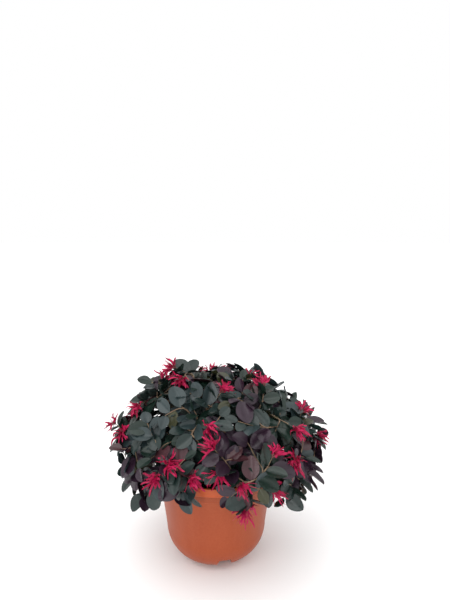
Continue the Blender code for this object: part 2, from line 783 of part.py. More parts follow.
def back_from_tip(path, distance):
    """The point and the outward tangent at a distance back along a path from its tip."""
    for near, far in zip(reversed(path[1:]), reversed(path[:-1])):
        span = (near - far).length
        tangent = (near - far) / span
        if distance <= span:
            return near - tangent * distance, tangent
        distance -= span
    return path[0], tangent


def apply_modifiers(obj):
    """Give the object the mesh that its modifiers leave."""
    graph = bpy.context.evaluated_depsgraph_get()
    mesh = bpy.data.meshes.new_from_object(obj.evaluated_get(graph))
    obj.modifiers.clear()
    old = obj.data
    obj.data = mesh
    bpy.data.meshes.remove(old)
    mesh.name = obj.name


def linked_faces(shell):
    """The shell's faces in groups that hang together, the largest first."""
    waiting = set(shell.faces)
    groups = []
    while waiting:
        group = set()
        front = [waiting.pop()]
        while front:
            face = front.pop()
            group.add(face)
            for edge in face.edges:
                for other in edge.link_faces:
                    if other in waiting:
                        waiting.discard(other)
                        front.append(other)
        groups.append(group)
    groups.sort(key=lambda group: -sum(face.calc_area() for face in group))
    return groups


def keep_one_body(mesh, method):
    """Keep the largest closed shell: a sealed hollow is filled, and a loose scrap is dropped.

    The answer is the middle of each edge that is not shared by two faces, or None where a good
    part of the surface came loose.
    """
    shell = bmesh.new()
    shell.from_mesh(mesh)
    bmesh.ops.triangulate(shell, faces=shell.faces, ngon_method=method)
    whole = sum(face.calc_area() for face in shell.faces)
    groups = linked_faces(shell)
    scraps = [face for group in groups[1:] for face in group]
    if scraps:
        bmesh.ops.delete(shell, geom=scraps, context="FACES")
    kept = sum(face.calc_area() for face in shell.faces)
    faults = [(edge.verts[0].co + edge.verts[1].co) / 2.0
              for edge in shell.edges if len(edge.link_faces) != 2]
    shell.to_mesh(mesh)
    shell.free()
    return faults if kept > KEPT_SHARE * whole else None


def shade(obj, angle):
    """Smooth shading with edges kept sharp beyond an angle in degrees."""
    obj.data.shade_smooth()
    obj.data.set_sharp_from_angle(angle=math.radians(angle))


def union(body, start, pieces, materials, solver):
    """Join the pieces to the body by one union on a collection, and clear its faults."""
    gathered = bpy.data.collections.new(body.name + "_pieces")
    bpy.context.scene.collection.children.link(gathered)
    for kind, points, faces in pieces:
        mesh = make_mesh("piece", points, faces)
        mesh.materials.append(materials[kind])
        gathered.objects.link(bpy.data.objects.new("piece", mesh))
    body.data = start.copy()
    join = body.modifiers.new("fuse", "BOOLEAN")
    join.operation = "UNION"
    join.operand_type = "COLLECTION"
    join.collection = gathered
    join.solver = solver
    if solver == "EXACT":
        join.material_mode = "TRANSFER"
    apply_modifiers(body)
    for piece in list(gathered.objects):
        mesh = piece.data
        bpy.data.objects.remove(piece)
        bpy.data.meshes.remove(mesh)
    bpy.data.collections.remove(gathered)
    for method in ("BEAUTY", "EAR_CLIP"):
        trial = body.data.copy()
        faults = keep_one_body(trial, method)
        if faults == []:
            break
    body.data = trial
    return faults


def fuse(mass):
    """All of a mass's pieces as one solid. Where both solvers fail, the leaf at fault is left out."""
    name = MASSES[mass.index][0]
    materials = {"twig": make_material("twig_" + name, TWIG_COLOUR, 0.8),
                 "leaf": make_material("leaf_" + name, LEAF_COLOUR, 0.4),
                 "petal": make_material("petal_" + name, PETAL_COLOUR, 0.5)}
    start = make_mesh(name, *mass.pieces[0][1:])
    body = make_object(name, start, materials["twig"])
    pieces = mass.pieces[1:]
    for attempt in range(UNION_TRIES):
        faults = union(body, start, pieces, materials, "EXACT")
        if faults == []:
            break
        faults = union(body, start, pieces, materials, "MANIFOLD")
        if faults == []:
            break
        loose = [piece for piece in pieces if piece[0] != "twig"]
        fault = faults[0] if faults else loose[-1][1][0]
        pieces.remove(min(loose, key=lambda piece: (piece[1][0] - fault).length))
    bpy.data.meshes.remove(start)


def grow_crown():
    """Every mass, from the twigs outwards, so that outer leaves find room before inner ones."""
    obstacles = Obstacles()
    add_limb_obstacles(obstacles)
    masses = [Mass(index, obstacles) for index in range(len(MASSES))]
    rng = random.Random(SEED)
    for mass in masses:
        mass.grow_stem()
    for out, outer, flowering in scattered_tips(rng):
        masses[owner(out)].grow_shoot(out, outer, flowering)
    for tip, flowering in SPILLS:
        out = (tip - CROWN_CENTRE).normalized()
        masses[owner(out)].grow_shoot(out, True, flowering, tip)
    for mass in masses:
        for shoot in mass.shoots:
            if shoot[2]:
                mass.grow_blossom(shoot)
    for rank in range(LEAVES_ON_OUTER_SHOOT):
        for mass in masses:
            for shoot in mass.shoots:
                if shoot[1] or rank < LEAVES_ON_INNER_SHOOT:
                    mass.grow_leaf(shoot, rank)
    return masses


def main():
    for obj in list(bpy.data.objects):
        bpy.data.objects.remove(obj)
    build_pot()
    build_soil()
    build_stem()
    for index in range(len(MASSES)):
        build_bough(index)
    for mass in grow_crown():
        fuse(mass)


main()
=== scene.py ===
"""The looks of a potted Chinese fringe flower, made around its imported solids.

Metres, +Z up, -Y is the plant's front. The crown grows by the same seeded rule as the solids'
masses: a stem goes on from each bough's tip, shoots fork from it towards evenly spread tips, and
each shoot bears leaves in turn on its two sides. Here the rule is carried to finer shoots, with
leaves, petals and twigs at their real size.
"""

import math
import random

import bmesh
import bpy
import numpy as np
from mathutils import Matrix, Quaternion, Vector, noise


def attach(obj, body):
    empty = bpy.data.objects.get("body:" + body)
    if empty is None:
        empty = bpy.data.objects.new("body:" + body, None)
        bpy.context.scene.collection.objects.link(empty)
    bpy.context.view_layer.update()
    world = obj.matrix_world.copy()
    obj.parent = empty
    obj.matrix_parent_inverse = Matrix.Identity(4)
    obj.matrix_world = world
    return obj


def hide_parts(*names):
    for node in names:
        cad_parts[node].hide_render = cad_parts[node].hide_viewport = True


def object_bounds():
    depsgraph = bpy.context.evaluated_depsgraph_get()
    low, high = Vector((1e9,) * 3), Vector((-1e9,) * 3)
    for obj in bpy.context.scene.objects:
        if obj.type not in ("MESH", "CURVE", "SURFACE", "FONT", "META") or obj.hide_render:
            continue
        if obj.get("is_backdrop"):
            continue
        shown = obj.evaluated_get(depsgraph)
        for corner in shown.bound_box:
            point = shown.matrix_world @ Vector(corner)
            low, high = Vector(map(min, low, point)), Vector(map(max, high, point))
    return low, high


# Pot, as the solids have it
RIM_RADIUS = 0.085
POT_HEIGHT = 0.138
POT_WALL = 0.0022
LIP_DEPTH = 0.0115
LIP_STEP = 0.0018
COLLAR_DEPTH = 0.0085
COLLAR_STEP = 0.0007
WALL_TAPER = 0.125
ROUNDING_HEIGHT = 0.044
FOOT_RADIUS = 0.0425
FOOT_HEIGHT = 0.0042
POT_FLOOR = 0.0075
DRAIN_CHANNELS = 5
DRAIN_WIDTH = 0.026
DRAIN_INNER_RADIUS = 0.022
FIRST_DRAIN_ANGLE = -78.5
DRAIN_TOP = 0.024
DRAIN_SLOPE = 36.0
SLOPED_FLOOR = 0.0027
DRAIN_SIDE_SLOPE = 0.2
FOOT_ROOF_DROP = 0.0007
POT_SEGMENTS = 160
EDGE_ROUNDING = 0.0008
COLLAR_ROUNDING = 0.0005
RIM_ROUNDING = 0.0014
# Straight stretches of the pot's section stop this far short of its rounded edges
ROUNDING_GAP = 0.0002
# Heights at which the pot's inside is worked out, on its sloped floor and its wall
LOW_INSIDE_HEIGHTS = (0.014, 0.026)
HIGH_INSIDE_HEIGHT = 0.080
WALL_STEPS = 5
ROUNDING_STEPS = 18
# How much lighter the lip is painted than the rest of the pot: painted light, for the light the
# upward-facing lip catches
LIP_PAINTED_LIGHT = 1.6

# Potting mix
SOIL_LEVEL = 0.1265
SOIL_EDGE_DROP = 0.005
SOIL_RELIEF = 0.0012
SOIL_SEGMENTS = 96
SOIL_RINGS = 34
CHIP_COUNT = 900
CHIP_SIZES = (0.0005, 0.0024)
# The mix right round the stem is free of chips
CHIP_FREE_RADIUS = 0.016

# Main stem and boughs
STEM_TOP = 0.1560
STEM_RADIUS = 0.0078
STEM_TIP_RADIUS = 0.0056
STEM_FLARE = 0.0055
STEM_FLARE_HEIGHT = 0.0050
STEM_LEAN = Vector((0.0022, -0.0012, 0.0))
BOUGH_ROOT_RADIUS = 0.0029
BOUGH_TIP_RADIUS = 0.0020
BOUGH_END = 0.054
WHORL_DROPS = {"low": 0.0181, "high": 0.0075}
WHORL_RISE = {"low": 16.0, "high": 38.0}
WHORL_STAGGER = 0.0016
TOUCH_GAP = 0.0003
BARK_RELIEF = 0.00028
STEM_RINGS = 44
STEM_SIDES = 40
BOUGH_STEPS = 26
BOUGH_SIDES = 18
# How far the stem's bark goes down into the mix, and a limb's root into what bears it
STEM_SINK = 0.002
ROOT_SINK = 0.004

# Crown: how far it reaches from its centre on four sides, as (elevation in degrees, reach)
CROWN_CENTRE = Vector((0.0, 0.0, 0.150))
REACH_LEFT = ((-35, 0.135), (-10, 0.150), (4, 0.168), (15, 0.172), (31, 0.147), (40, 0.153),
              (48, 0.163), (57, 0.150), (65, 0.164), (76, 0.141), (90, 0.116))
REACH_RIGHT = ((-35, 0.150), (-12, 0.160), (2, 0.176), (26, 0.171), (36, 0.147), (45, 0.146),
               (57, 0.152), (66, 0.140), (77, 0.139), (90, 0.116))
REACH_FRONT = ((-35, 0.130), (0, 0.140), (20, 0.150), (50, 0.150), (75, 0.130), (90, 0.116))
REACH_BACK = ((-35, 0.140), (0, 0.152), (30, 0.152), (60, 0.150), (90, 0.116))
REACH_SLACK = 0.004
LOWEST_FOLIAGE = 0.104
FRONT_EDGE_SLOPE = 0.50
# The front foliage stays this far above the lip, so that the lip shows
LIP_SHOWING = 0.007
# Room kept round the rim: above it, outside it, across it and, within it, above the mix
ABOVE_RIM = 0.001
BESIDE_RIM = 0.0015
RIM_BREADTH = 0.008
ABOVE_MIX = 0.002
# The dip in the crown's top outline: where it lies, how wide it is in degrees and how deep
DIP_PLACE = (95, 67)
DIP_WIDTH = 15.0
DIP_DEPTH = 0.018

# Masses of foliage: name, azimuth and elevation of its middle, and the tier its bough leaves from
MASSES = (
    ("mass_left", 180, 8, "low"),
    ("mass_front_left", 231, 10, "low"),
    ("mass_front", 283, 12, "low"),
    ("mass_right_front", 334, 9, "low"),
    ("mass_right_back", 26, 8, "low"),
    ("mass_back", 77, 6, "low"),
    ("mass_back_left", 129, 6, "low"),
    ("mass_upper_left", 180, 47, "high"),
    ("mass_upper_front_left", 250, 46, "high"),
    ("mass_upper_front_right", 322, 46, "high"),
    ("mass_upper_right", 36, 46, "high"),
    ("mass_upper_back", 108, 46, "high"),
    ("mass_top_left", 176, 77, "top"),
    ("mass_top_right", 2, 74, "top"),
)

# Shoots that make the crown's furthest tips, as azimuth and elevation in degrees
LEADERS = ((180, 3), (180, 48), (172, 100), (0, 1), (0, 25), (20, 76), (348, 57), (90, 20),
           (164, 45), (59, 58), (16, 38))
# Clusters of blossom on the front, as azimuth and elevation in degrees
BLOSSOMS = ((179, 65), (174, 54), (215, 66), (192, 36), (200, 20), (179, 15), (244, 17), (236, 9),
            (256, 11), (265, 39), (270, 27), (273, 15), (284, 9), (302, 1), (304, 19), (318, 14),
            (337, 56), (14, 65), (280, 66), (352, 28), (325, 28), (355, 11))
BACK_BLOSSOM_SHARE = 0.09
# Shoots that spill over the front of the rim: where each ends, and whether it ends in blossom
SPILLS = (
    (Vector((0.041, -0.101, 0.124)), True),
    (Vector((-0.030, -0.098, 0.137)), False),
    (Vector((0.018, -0.102, 0.136)), False),
)

# The rule carried to finer shoots
MASS_STEM_RADIUS = 0.0018
MASS_STEM_SHARE = 0.66
TWIG_ROOT_RADIUS = 0.0010
TWIG_TIP_RADIUS = 0.00045
TWIG_SPANS = 7
TWIG_SIDES = 6
FORKS_PER_TWIG = 8
FORK_SPACING = 0.0028
WIDEST_FORK = 72.0
# The tips are picked from this many even directions, down to this height of a unit vector
SPREAD_COUNT = 6000
LOWEST_TIP = -0.42
TIP_SPACING = 8.6
INNER_TIP_SPACING = 12.5
INNER_REACH = 0.76
TIP_SHARE = 0.86
LEAF_LENGTH = 0.0285
LEAF_WIDTH = 0.0192
LEAF_THICKNESS = 0.00035
# Shares of a leaf's length at which its outline and its side veins are worked out
LEAF_ROWS = (0.0, 0.045, 0.09, 0.17, 0.26, 0.36, 0.46, 0.56, 0.66, 0.76, 0.86, 0.94, 1.0)
LEAF_COLUMNS = 7
LEAF_TEMPLATES = 14
STALK_SHARE = 0.055
STALK_HALF_WIDTH = 0.022
VEIN_RELIEF = 0.034
MIDRIB_DEPTH = 0.075
LEAF_SPACING = 0.0070
LEAVES_ON_OUTER_SHOOT = 8
LEAVES_ON_INNER_SHOOT = 6
LEAF_TRIES = 6
# Leaves near a shoot's tip are smaller, by their place from it
TIP_LEAF_SIZES = (0.70, 0.86, 1.0)
FLOWERS_IN_CLUSTER = (6, 8)
CALYX_RADII = (0.0006, 0.0008, 0.0013, 0.0007)
PETALS_PER_FLOWER = 4
PETAL_STEPS = 8
PETAL_LENGTH = 0.0180
PETAL_WIDTH = 0.0027
PETAL_THICKNESS = 0.0005
PETALS_OVER_EDGE = 0.007
SEED = 41

# Leaf colours, dealt out by shoot: name, base colour and share of the shoots
LEAF_TONES = (
    ("dark_green", (0.0120, 0.0245, 0.0220), 0.36),
    ("blue_grey", (0.023, 0.038, 0.040), 0.20),
    ("deep_green", (0.0062, 0.0190, 0.0130), 0.20),
    ("plum", (0.0240, 0.0105, 0.0215), 0.20),
    ("olive", (0.036, 0.038, 0.015), 0.02),
    ("young_red", (0.050, 0.015, 0.020), 0.02),
)
# This share of the leaves takes any of the colours instead of its shoot's
STRAY_SHARE = 0.20

# Camera: in front of the plant and above it, looking down a little
CAMERA_DISTANCE = 0.627
CAMERA_HEIGHT = 0.462
CAMERA_SIDE = 0.0133
CAMERA_PITCH = 8.0
CAMERA_LENS = 27.0
CAMERA_SENSOR = 36.0

# Light: the sky is white low down; from SKY_EDGE, as a share of its height, it brightens to SKY_TOP
SKY_EDGE = 0.45
SKY_TOP = 1.55
FLOOR_SIZE = 60.0
# Lamps: name, place, size, power and the point they are aimed at
LAMPS = (
    ("key", (-0.6, -0.7, 1.7), 1.5, 8.0, (0.0, 0.0, 0.16)),
    ("front", (-0.25, -1.7, 0.35), 0.7, 5.0, (0.0, 0.0, 0.11)),
)

UP = Vector((0.0, 0.0, 1.0))


# Shapes


def direction(azimuth, elevation):
    """The unit vector at an azimuth from +X towards +Y and an elevation, both in degrees."""
    a = math.radians(azimuth)
    e = math.radians(elevation)
    return Vector((math.cos(e) * math.cos(a), math.cos(e) * math.sin(a), math.sin(e)))


def evenly(first, last, steps):
    """Values from a first to a last, in even steps."""
    return [first + (last - first) * k / steps for k in range(steps + 1)]


def bezier(points, t):
    """A point on the curve of these control points."""
    while len(points) > 1:
        points = [a.lerp(b, t) for a, b in zip(points, points[1:])]
    return points[0]


def shade(mesh, sharp):
    """Smooth shading, but for edges sharper than an angle in degrees."""
    mesh.shade_smooth()
    mesh.set_sharp_from_angle(angle=math.radians(sharp))


class Shape:
    """Points and faces gathered from many small closed shapes of one kind."""

    def __init__(self):
        self.points = []
        self.faces = []
        self.count = 0

    def add(self, points, faces):
        """Take in one more closed shape."""
        points = np.asarray(points, dtype=np.float64)
        self.points.append(points)
        self.faces.extend([tuple(corner + self.count for corner in face) for face in faces])
        self.count += len(points)

    def plain_object(self, name):
        """One object of all the shapes, their faces turned outwards."""
        mesh = bpy.data.meshes.new(name)
        mesh.from_pydata(np.concatenate(self.points).tolist(), [], self.faces)
        shell = bmesh.new()
        shell.from_mesh(mesh)
        bmesh.ops.recalc_face_normals(shell, faces=shell.faces)
        shell.to_mesh(mesh)
        shell.free()
        obj = bpy.data.objects.new(name, mesh)
        bpy.context.scene.collection.objects.link(obj)
        return obj

    def to_object(self, name, material, slot, replaced=(), sharp=50.0):
        """One smooth-shaded object, which rides on the body and may stand for solids."""
        obj = self.plain_object(name)
        obj.data.materials.append(material)
        shade(obj.data, sharp)
        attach(obj, "root")
        if replaced:
            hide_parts(*replaced)
        return obj


def tube(path, radii, sides, relief=None):
    """Points and faces of a closed tapering tube, with a relief worked on its surface."""
    points = []
    faces = []
    side = (path[1] - path[0]).orthogonal().normalized()
    for i, middle in enumerate(path):
        ahead = (path[min(i + 1, len(path) - 1)] - path[max(i - 1, 0)]).normalized()
        side = (side - ahead * side.dot(ahead)).normalized()
        across = ahead.cross(side)
        for k in range(sides):
            turn = 2.0 * math.pi * k / sides
            out = side * math.cos(turn) + across * math.sin(turn)
            radius = radii[i]
            if relief:
                radius += relief(middle + out * radius, turn)
            points.append(middle + out * radius)
    faces.append(tuple(range(sides)))
    for i in range(len(path) - 1):
        for k in range(sides):
            n = (k + 1) % sides
            low = i * sides
            faces.append((low + k, low + n, low + sides + n, low + sides + k))
    faces.append(tuple(sides * (len(path) - 1) + k for k in range(sides)))
    return points, faces


def turned(profile, segments):
    """Points and faces of a solid turned about +Z; a radius of 0 is a point on the axis."""
    points = []
    rings = []
    for radius, z in profile:
        if radius == 0.0:
            rings.append([len(points)] * segments)
            points.append(Vector((0.0, 0.0, z)))
            continue
        rings.append(list(range(len(points), len(points) + segments)))
        for k in range(segments):
            points.append(direction(360.0 * k / segments, 0.0) * radius + UP * z)
    faces = []
    for low, high in zip(rings, rings[1:]):
        for k in range(segments):
            n = (k + 1) % segments
            corners = []
            for corner in (low[k], low[n], high[n], high[k]):
                if corner not in corners:
                    corners.append(corner)
            faces.append(tuple(corners))
    return points, faces


# Materials


class Nodes:
    """A material's shader with short calls for what feeds it."""

    def __init__(self, name, roughness):
        self.material = bpy.data.materials.new(name)
        self.material.use_nodes = True
        self.tree = self.material.node_tree
        self.shader = self.tree.nodes["Principled BSDF"]
        self.shader.inputs["Roughness"].default_value = roughness
        place = self.tree.nodes.new("ShaderNodeTexCoord")
        self.place = place.outputs["Object"]

    def link(self, source, target):
        """Feed one socket from another."""
        self.tree.links.new(source, target)

    def noise(self, scale, detail=4.0, roughness=0.55, stretch=None):
        """A noise value over the object, stretched along its axes if asked."""
        texture = self.tree.nodes.new("ShaderNodeTexNoise")
        texture.inputs["Scale"].default_value = scale
        texture.inputs["Detail"].default_value = detail
        texture.inputs["Roughness"].default_value = roughness
        source = self.place
        if stretch:
            mapping = self.tree.nodes.new("ShaderNodeMapping")
            mapping.inputs["Scale"].default_value = stretch
            self.link(self.place, mapping.inputs["Vector"])
            source = mapping.outputs["Vector"]
        self.link(source, texture.inputs["Vector"])
        return texture.outputs["Fac"]

    def tones(self, source, first, second, low=0.3, high=0.7):
        """A colour that runs from a first to a second between two values of its source."""
        node = self.tree.nodes.new("ShaderNodeValToRGB")
        ends = zip(node.color_ramp.elements, ((low, first), (high, second)))
        for element, (position, colour) in ends:
            element.position = position
            element.color = (*colour, 1.0)
        self.link(source, node.inputs["Fac"])
        return node.outputs["Color"]

    def mix(self, share, first, second):
        """Two colours mixed, with a share of the second."""
        node = self.tree.nodes.new("ShaderNodeMix")
        node.data_type = "RGBA"
        node.inputs["Factor"].default_value = share
        self.link(first, node.inputs["A"])
        self.link(second, node.inputs["B"])
        return node.outputs["Result"]

    def colour(self, source):
        """The surface's base colour."""
        self.link(source, self.shader.inputs["Base Color"])

    def roughness(self, source, low, high):
        """The surface's roughness, between two bounds."""
        node = self.tree.nodes.new("ShaderNodeMapRange")
        node.inputs["To Min"].default_value = low
        node.inputs["To Max"].default_value = high
        self.link(source, node.inputs["Value"])
        self.link(node.outputs["Result"], self.shader.inputs["Roughness"])

    def gloss(self, level):
        """How strongly the surface mirrors: 0.5 is usual."""
        self.shader.inputs["Specular IOR Level"].default_value = level

    def bump(self, source, distance, strength):
        """Fine relief, in metres."""
        node = self.tree.nodes.new("ShaderNodeBump")
        node.inputs["Distance"].default_value = distance
        node.inputs["Strength"].default_value = strength
        self.link(source, node.inputs["Height"])
        self.link(node.outputs["Normal"], self.shader.inputs["Normal"])


def tinted(colour, factor):
    """A colour made lighter or darker by a factor."""
    return tuple(min(1.0, c * factor) for c in colour)


def leaf_material(name, colour):
    """A satin leaf: a plain colour with faint mottling and a finely quilted surface."""
    nodes = Nodes("leaf_" + name, 0.36)
    broad = nodes.noise(38.0, 2.0)
    fine = nodes.noise(420.0, 3.0)
    broad_tone = nodes.tones(broad, tinted(colour, 0.74), tinted(colour, 1.32), 0.32, 0.68)
    fine_tone = nodes.tones(fine, tinted(colour, 0.82), tinted(colour, 1.22), 0.30, 0.75)
    nodes.colour(nodes.mix(0.4, broad_tone, fine_tone))
    nodes.roughness(fine, 0.26, 0.42)
    nodes.bump(fine, 0.0004, 0.55)
    nodes.gloss(0.44)
    return nodes.material


def petal_material():
    """A soft magenta ribbon, deeper in colour here and there."""
    nodes = Nodes("petal", 0.55)
    tone = nodes.noise(95.0, 2.0)
    nodes.colour(nodes.tones(tone, (0.28, 0.002, 0.034), (0.50, 0.010, 0.084), 0.34, 0.66))
    nodes.bump(nodes.noise(1500.0, 2.0), 0.0001, 0.4)
    nodes.gloss(0.30)
    return nodes.material


def calyx_material():
    """The downy brown-red cup that holds the petals."""
    nodes = Nodes("calyx", 0.7)
    nodes.colour(nodes.tones(nodes.noise(600.0), (0.09, 0.018, 0.026), (0.21, 0.055, 0.050)))
    nodes.bump(nodes.noise(1400.0), 0.0002, 0.6)
    return nodes.material


def twig_material():
    """The pale brown bark of young twigs."""
    nodes = Nodes("twig_bark", 0.72)
    tone = nodes.noise(130.0)
    nodes.colour(nodes.tones(tone, (0.105, 0.062, 0.040), (0.27, 0.185, 0.115)))
    nodes.bump(nodes.noise(900.0), 0.0003, 0.6)
    return nodes.material


def bark_material():
    """The rough grey-brown bark of the stem and the boughs."""
    nodes = Nodes("bark", 0.86)
    grain = nodes.noise(260.0, 6.0, 0.6, (1.0, 1.0, 0.25))
    patch = nodes.noise(70.0)
    dark = nodes.tones(grain, (0.060, 0.038, 0.026), (0.21, 0.145, 0.100))
    pale = nodes.tones(patch, (0.11, 0.075, 0.052), (0.27, 0.21, 0.155), 0.35)
    nodes.colour(nodes.mix(0.45, dark, pale))
    nodes.bump(grain, 0.0006, 0.8)
    return nodes.material


def pot_material(name, painted_light_factor):
    """Moulded terracotta-coloured plastic with a dusty bloom, fine scuffs and a satin sheen."""
    nodes = Nodes(name, 0.42)
    broad = nodes.noise(14.0, 3.0)
    speckle = nodes.noise(330.0, 4.0)
    streak = nodes.noise(60.0, 4.0, 0.6, (1.0, 1.0, 0.12))

    def tones(source, first, second, low, high):
        """Two tones of the plastic, made lighter by a factor, which on the lip is painted light."""
        return nodes.tones(source, tinted(first, painted_light_factor), tinted(second, painted_light_factor), low, high)

    body = tones(broad, (0.300, 0.047, 0.010), (0.350, 0.062, 0.015), 0.30, 0.70)
    dust = tones(streak, (0.290, 0.049, 0.012), (0.390, 0.098, 0.040), 0.35, 0.80)
    fine = tones(speckle, (0.280, 0.045, 0.010), (0.380, 0.078, 0.024), 0.35, 0.72)
    plain = nodes.mix(0.38, body, dust)
    nodes.colour(nodes.mix(0.25, plain, fine))
    nodes.roughness(streak, 0.34, 0.52)
    nodes.gloss(0.30)
    nodes.bump(speckle, 0.00025, 0.35)
    return nodes.material


def soil_material():
    """Dark crumbly potting mix."""
    nodes = Nodes("potting_mix", 0.96)
    tone = nodes.noise(210.0, 6.0, 0.65)
    nodes.colour(nodes.tones(tone, (0.012, 0.007, 0.005), (0.085, 0.052, 0.032), 0.32))
    nodes.bump(nodes.noise(600.0, 6.0), 0.0012, 1.0)
    return nodes.material


def chip_material():
    """Chips of brown bark."""
    nodes = Nodes("bark_chips", 0.9)
    tone = nodes.noise(160.0, 4.0)
    nodes.colour(nodes.tones(tone, (0.045, 0.026, 0.016), (0.17, 0.105, 0.062), 0.30, 0.72))
    nodes.bump(nodes.noise(700.0, 4.0), 0.0006, 0.8)
    return nodes.material


# Pot and potting mix


def wall_radius(z):
    """The pot's outer radius below its lip, at height z."""
    collar_foot = POT_HEIGHT - LIP_DEPTH - COLLAR_DEPTH
    top = RIM_RADIUS - LIP_STEP - COLLAR_STEP
    if z >= ROUNDING_HEIGHT:
        return top - WALL_TAPER * (collar_foot - z)
    side = top - WALL_TAPER * (collar_foot - ROUNDING_HEIGHT)
    drop = (ROUNDING_HEIGHT - z) / (ROUNDING_HEIGHT - FOOT_HEIGHT)
    return FOOT_RADIUS + (side - FOOT_RADIUS) * math.sqrt(max(0.0, 1.0 - drop ** 2))


def channel_slope():
    """The rise of the drain channels' roof for each metre outwards."""
    return math.tan(math.radians(DRAIN_SLOPE))


def inner_radius(z):
    """The radius inside the pot at height z: low down, a sloped floor covers the drain channels."""
    sloped = wall_radius(DRAIN_TOP) - (DRAIN_TOP + SLOPED_FLOOR - z) / channel_slope()
    return min(wall_radius(z) - POT_WALL, sloped)


def channel_section():
    """A drain channel as (radius, height): through the foot, then sloping up through the wall."""
    roof = FOOT_HEIGHT - FOOT_ROOF_DROP
    below = -0.010
    knee = wall_radius(DRAIN_TOP) - (DRAIN_TOP - roof) / channel_slope()
    end_roof = DRAIN_TOP + (RIM_RADIUS - wall_radius(DRAIN_TOP)) * channel_slope()
    return [(DRAIN_INNER_RADIUS, below), (DRAIN_INNER_RADIUS, roof), (knee, roof),
            (RIM_RADIUS, end_roof), (RIM_RADIUS, below)]


def arc(centre, radius, first, last, steps):
    """Points of a rounded edge, as (radius, height) about a centre, between two angles."""
    turns = [math.radians(turn) for turn in evenly(first, last, steps)]
    return [(centre[0] + radius * math.cos(t), centre[1] + radius * math.sin(t)) for t in turns]


def pot_profile():
    """The pot's section, from the underside's middle, up the outside and down the inside."""
    lip_foot = POT_HEIGHT - LIP_DEPTH
    collar_foot = lip_foot - COLLAR_DEPTH
    collar = RIM_RADIUS - LIP_STEP
    inside = collar - POT_WALL - 0.0003
    edge = EDGE_ROUNDING
    small = COLLAR_ROUNDING
    top = RIM_ROUNDING
    gap = ROUNDING_GAP
    wall_top = collar_foot - small * 2.0 - gap
    profile = [(0.0, 0.0), (DRAIN_INNER_RADIUS, 0.0), (FOOT_RADIUS - edge * 1.5, 0.0)]
    profile += arc((FOOT_RADIUS - edge, edge), edge, -60.0, 0.0, 3)
    profile.append((FOOT_RADIUS, FOOT_HEIGHT))
    for turn in evenly(0.0, 90.0, ROUNDING_STEPS)[1:]:
        z = ROUNDING_HEIGHT - (ROUNDING_HEIGHT - FOOT_HEIGHT) * math.cos(math.radians(turn))
        profile.append((wall_radius(z), z))
    for z in evenly(ROUNDING_HEIGHT, wall_top, WALL_STEPS)[1:]:
        profile.append((wall_radius(z), z))
    profile += arc((collar - small, collar_foot - gap), small, -40.0, 0.0, 3)
    profile.append((collar, lip_foot - edge - gap))
    profile += arc((RIM_RADIUS - edge - gap, lip_foot + edge), edge, -80.0, 0.0, 4)
    profile.append((RIM_RADIUS, POT_HEIGHT - top - gap))
    profile += arc((RIM_RADIUS - top, POT_HEIGHT - top), top, 10.0, 90.0, 5)
    profile += arc((inside + edge, POT_HEIGHT - edge), edge, 90.0, 180.0, 4)
    for z in (collar_foot, HIGH_INSIDE_HEIGHT, ROUNDING_HEIGHT, *reversed(LOW_INSIDE_HEIGHTS), POT_FLOOR):
        profile.append((inner_radius(z), z))
    profile.append((0.0, POT_FLOOR))
    return profile


def drain_cutter():
    """What the drain channels take away: one closed block for each, wider at its foot."""
    cutter = Shape()
    section = channel_section()
    size = len(section)
    sides = [(i, (i + 1) % size, size + (i + 1) % size, size + i) for i in range(size)]
    ends = [tuple(range(size)), tuple(range(size, size * 2))]
    for k in range(DRAIN_CHANNELS):
        out = direction(FIRST_DRAIN_ANGLE + 360.0 * k / DRAIN_CHANNELS, 0.0)
        side = UP.cross(out)
        points = []
        for sign in (-1.0, 1.0):
            for radius, z in section:
                half_width = DRAIN_WIDTH / 2.0 - DRAIN_SIDE_SLOPE * z
                points.append(out * radius + side * sign * half_width + UP * z)
        cutter.add(points, sides + ends)
    return cutter.plain_object("drain_cutter")


def make_pot():
    """The pot's fine surface, drain channels cut through its foot and wall, and its lip in a lighter copy
    of the plastic as painted light.
    """
    sharp = 40.0
    shape = Shape()
    shape.add(*turned(pot_profile(), POT_SEGMENTS))
    pot = shape.to_object("pot_shell", pot_material("pot_plastic", 1.0), "pot", ["pot"], sharp)
    tool = drain_cutter()
    cut = pot.modifiers.new("drain_channels", "BOOLEAN")
    cut.operation = "DIFFERENCE"
    cut.object = tool
    graph = bpy.context.evaluated_depsgraph_get()
    pot.data = bpy.data.meshes.new_from_object(pot.evaluated_get(graph))
    pot.modifiers.clear()
    bpy.data.objects.remove(tool)
    # The lip takes a lighter copy of the plastic: painted light, as the upward-facing lip catches more
    # light
    pot.data.materials.append(pot_material("pot_lip_painted_light", LIP_PAINTED_LIGHT))
    for face in pot.data.polygons:
        if face.center.z > POT_HEIGHT - LIP_DEPTH:
            face.material_index = 1
    shade(pot.data, sharp)


def soil_height(x, y):
    """The potting mix's uneven surface."""
    flat = math.hypot(x, y)
    slope = SOIL_EDGE_DROP * min(1.0, flat / (RIM_RADIUS - RIM_BREADTH)) ** 2
    rough = SOIL_RELIEF * noise.fractal(Vector((x * 90.0, y * 90.0, 3.0)), 0.9, 2.1, 5)
    return SOIL_LEVEL - slope + rough


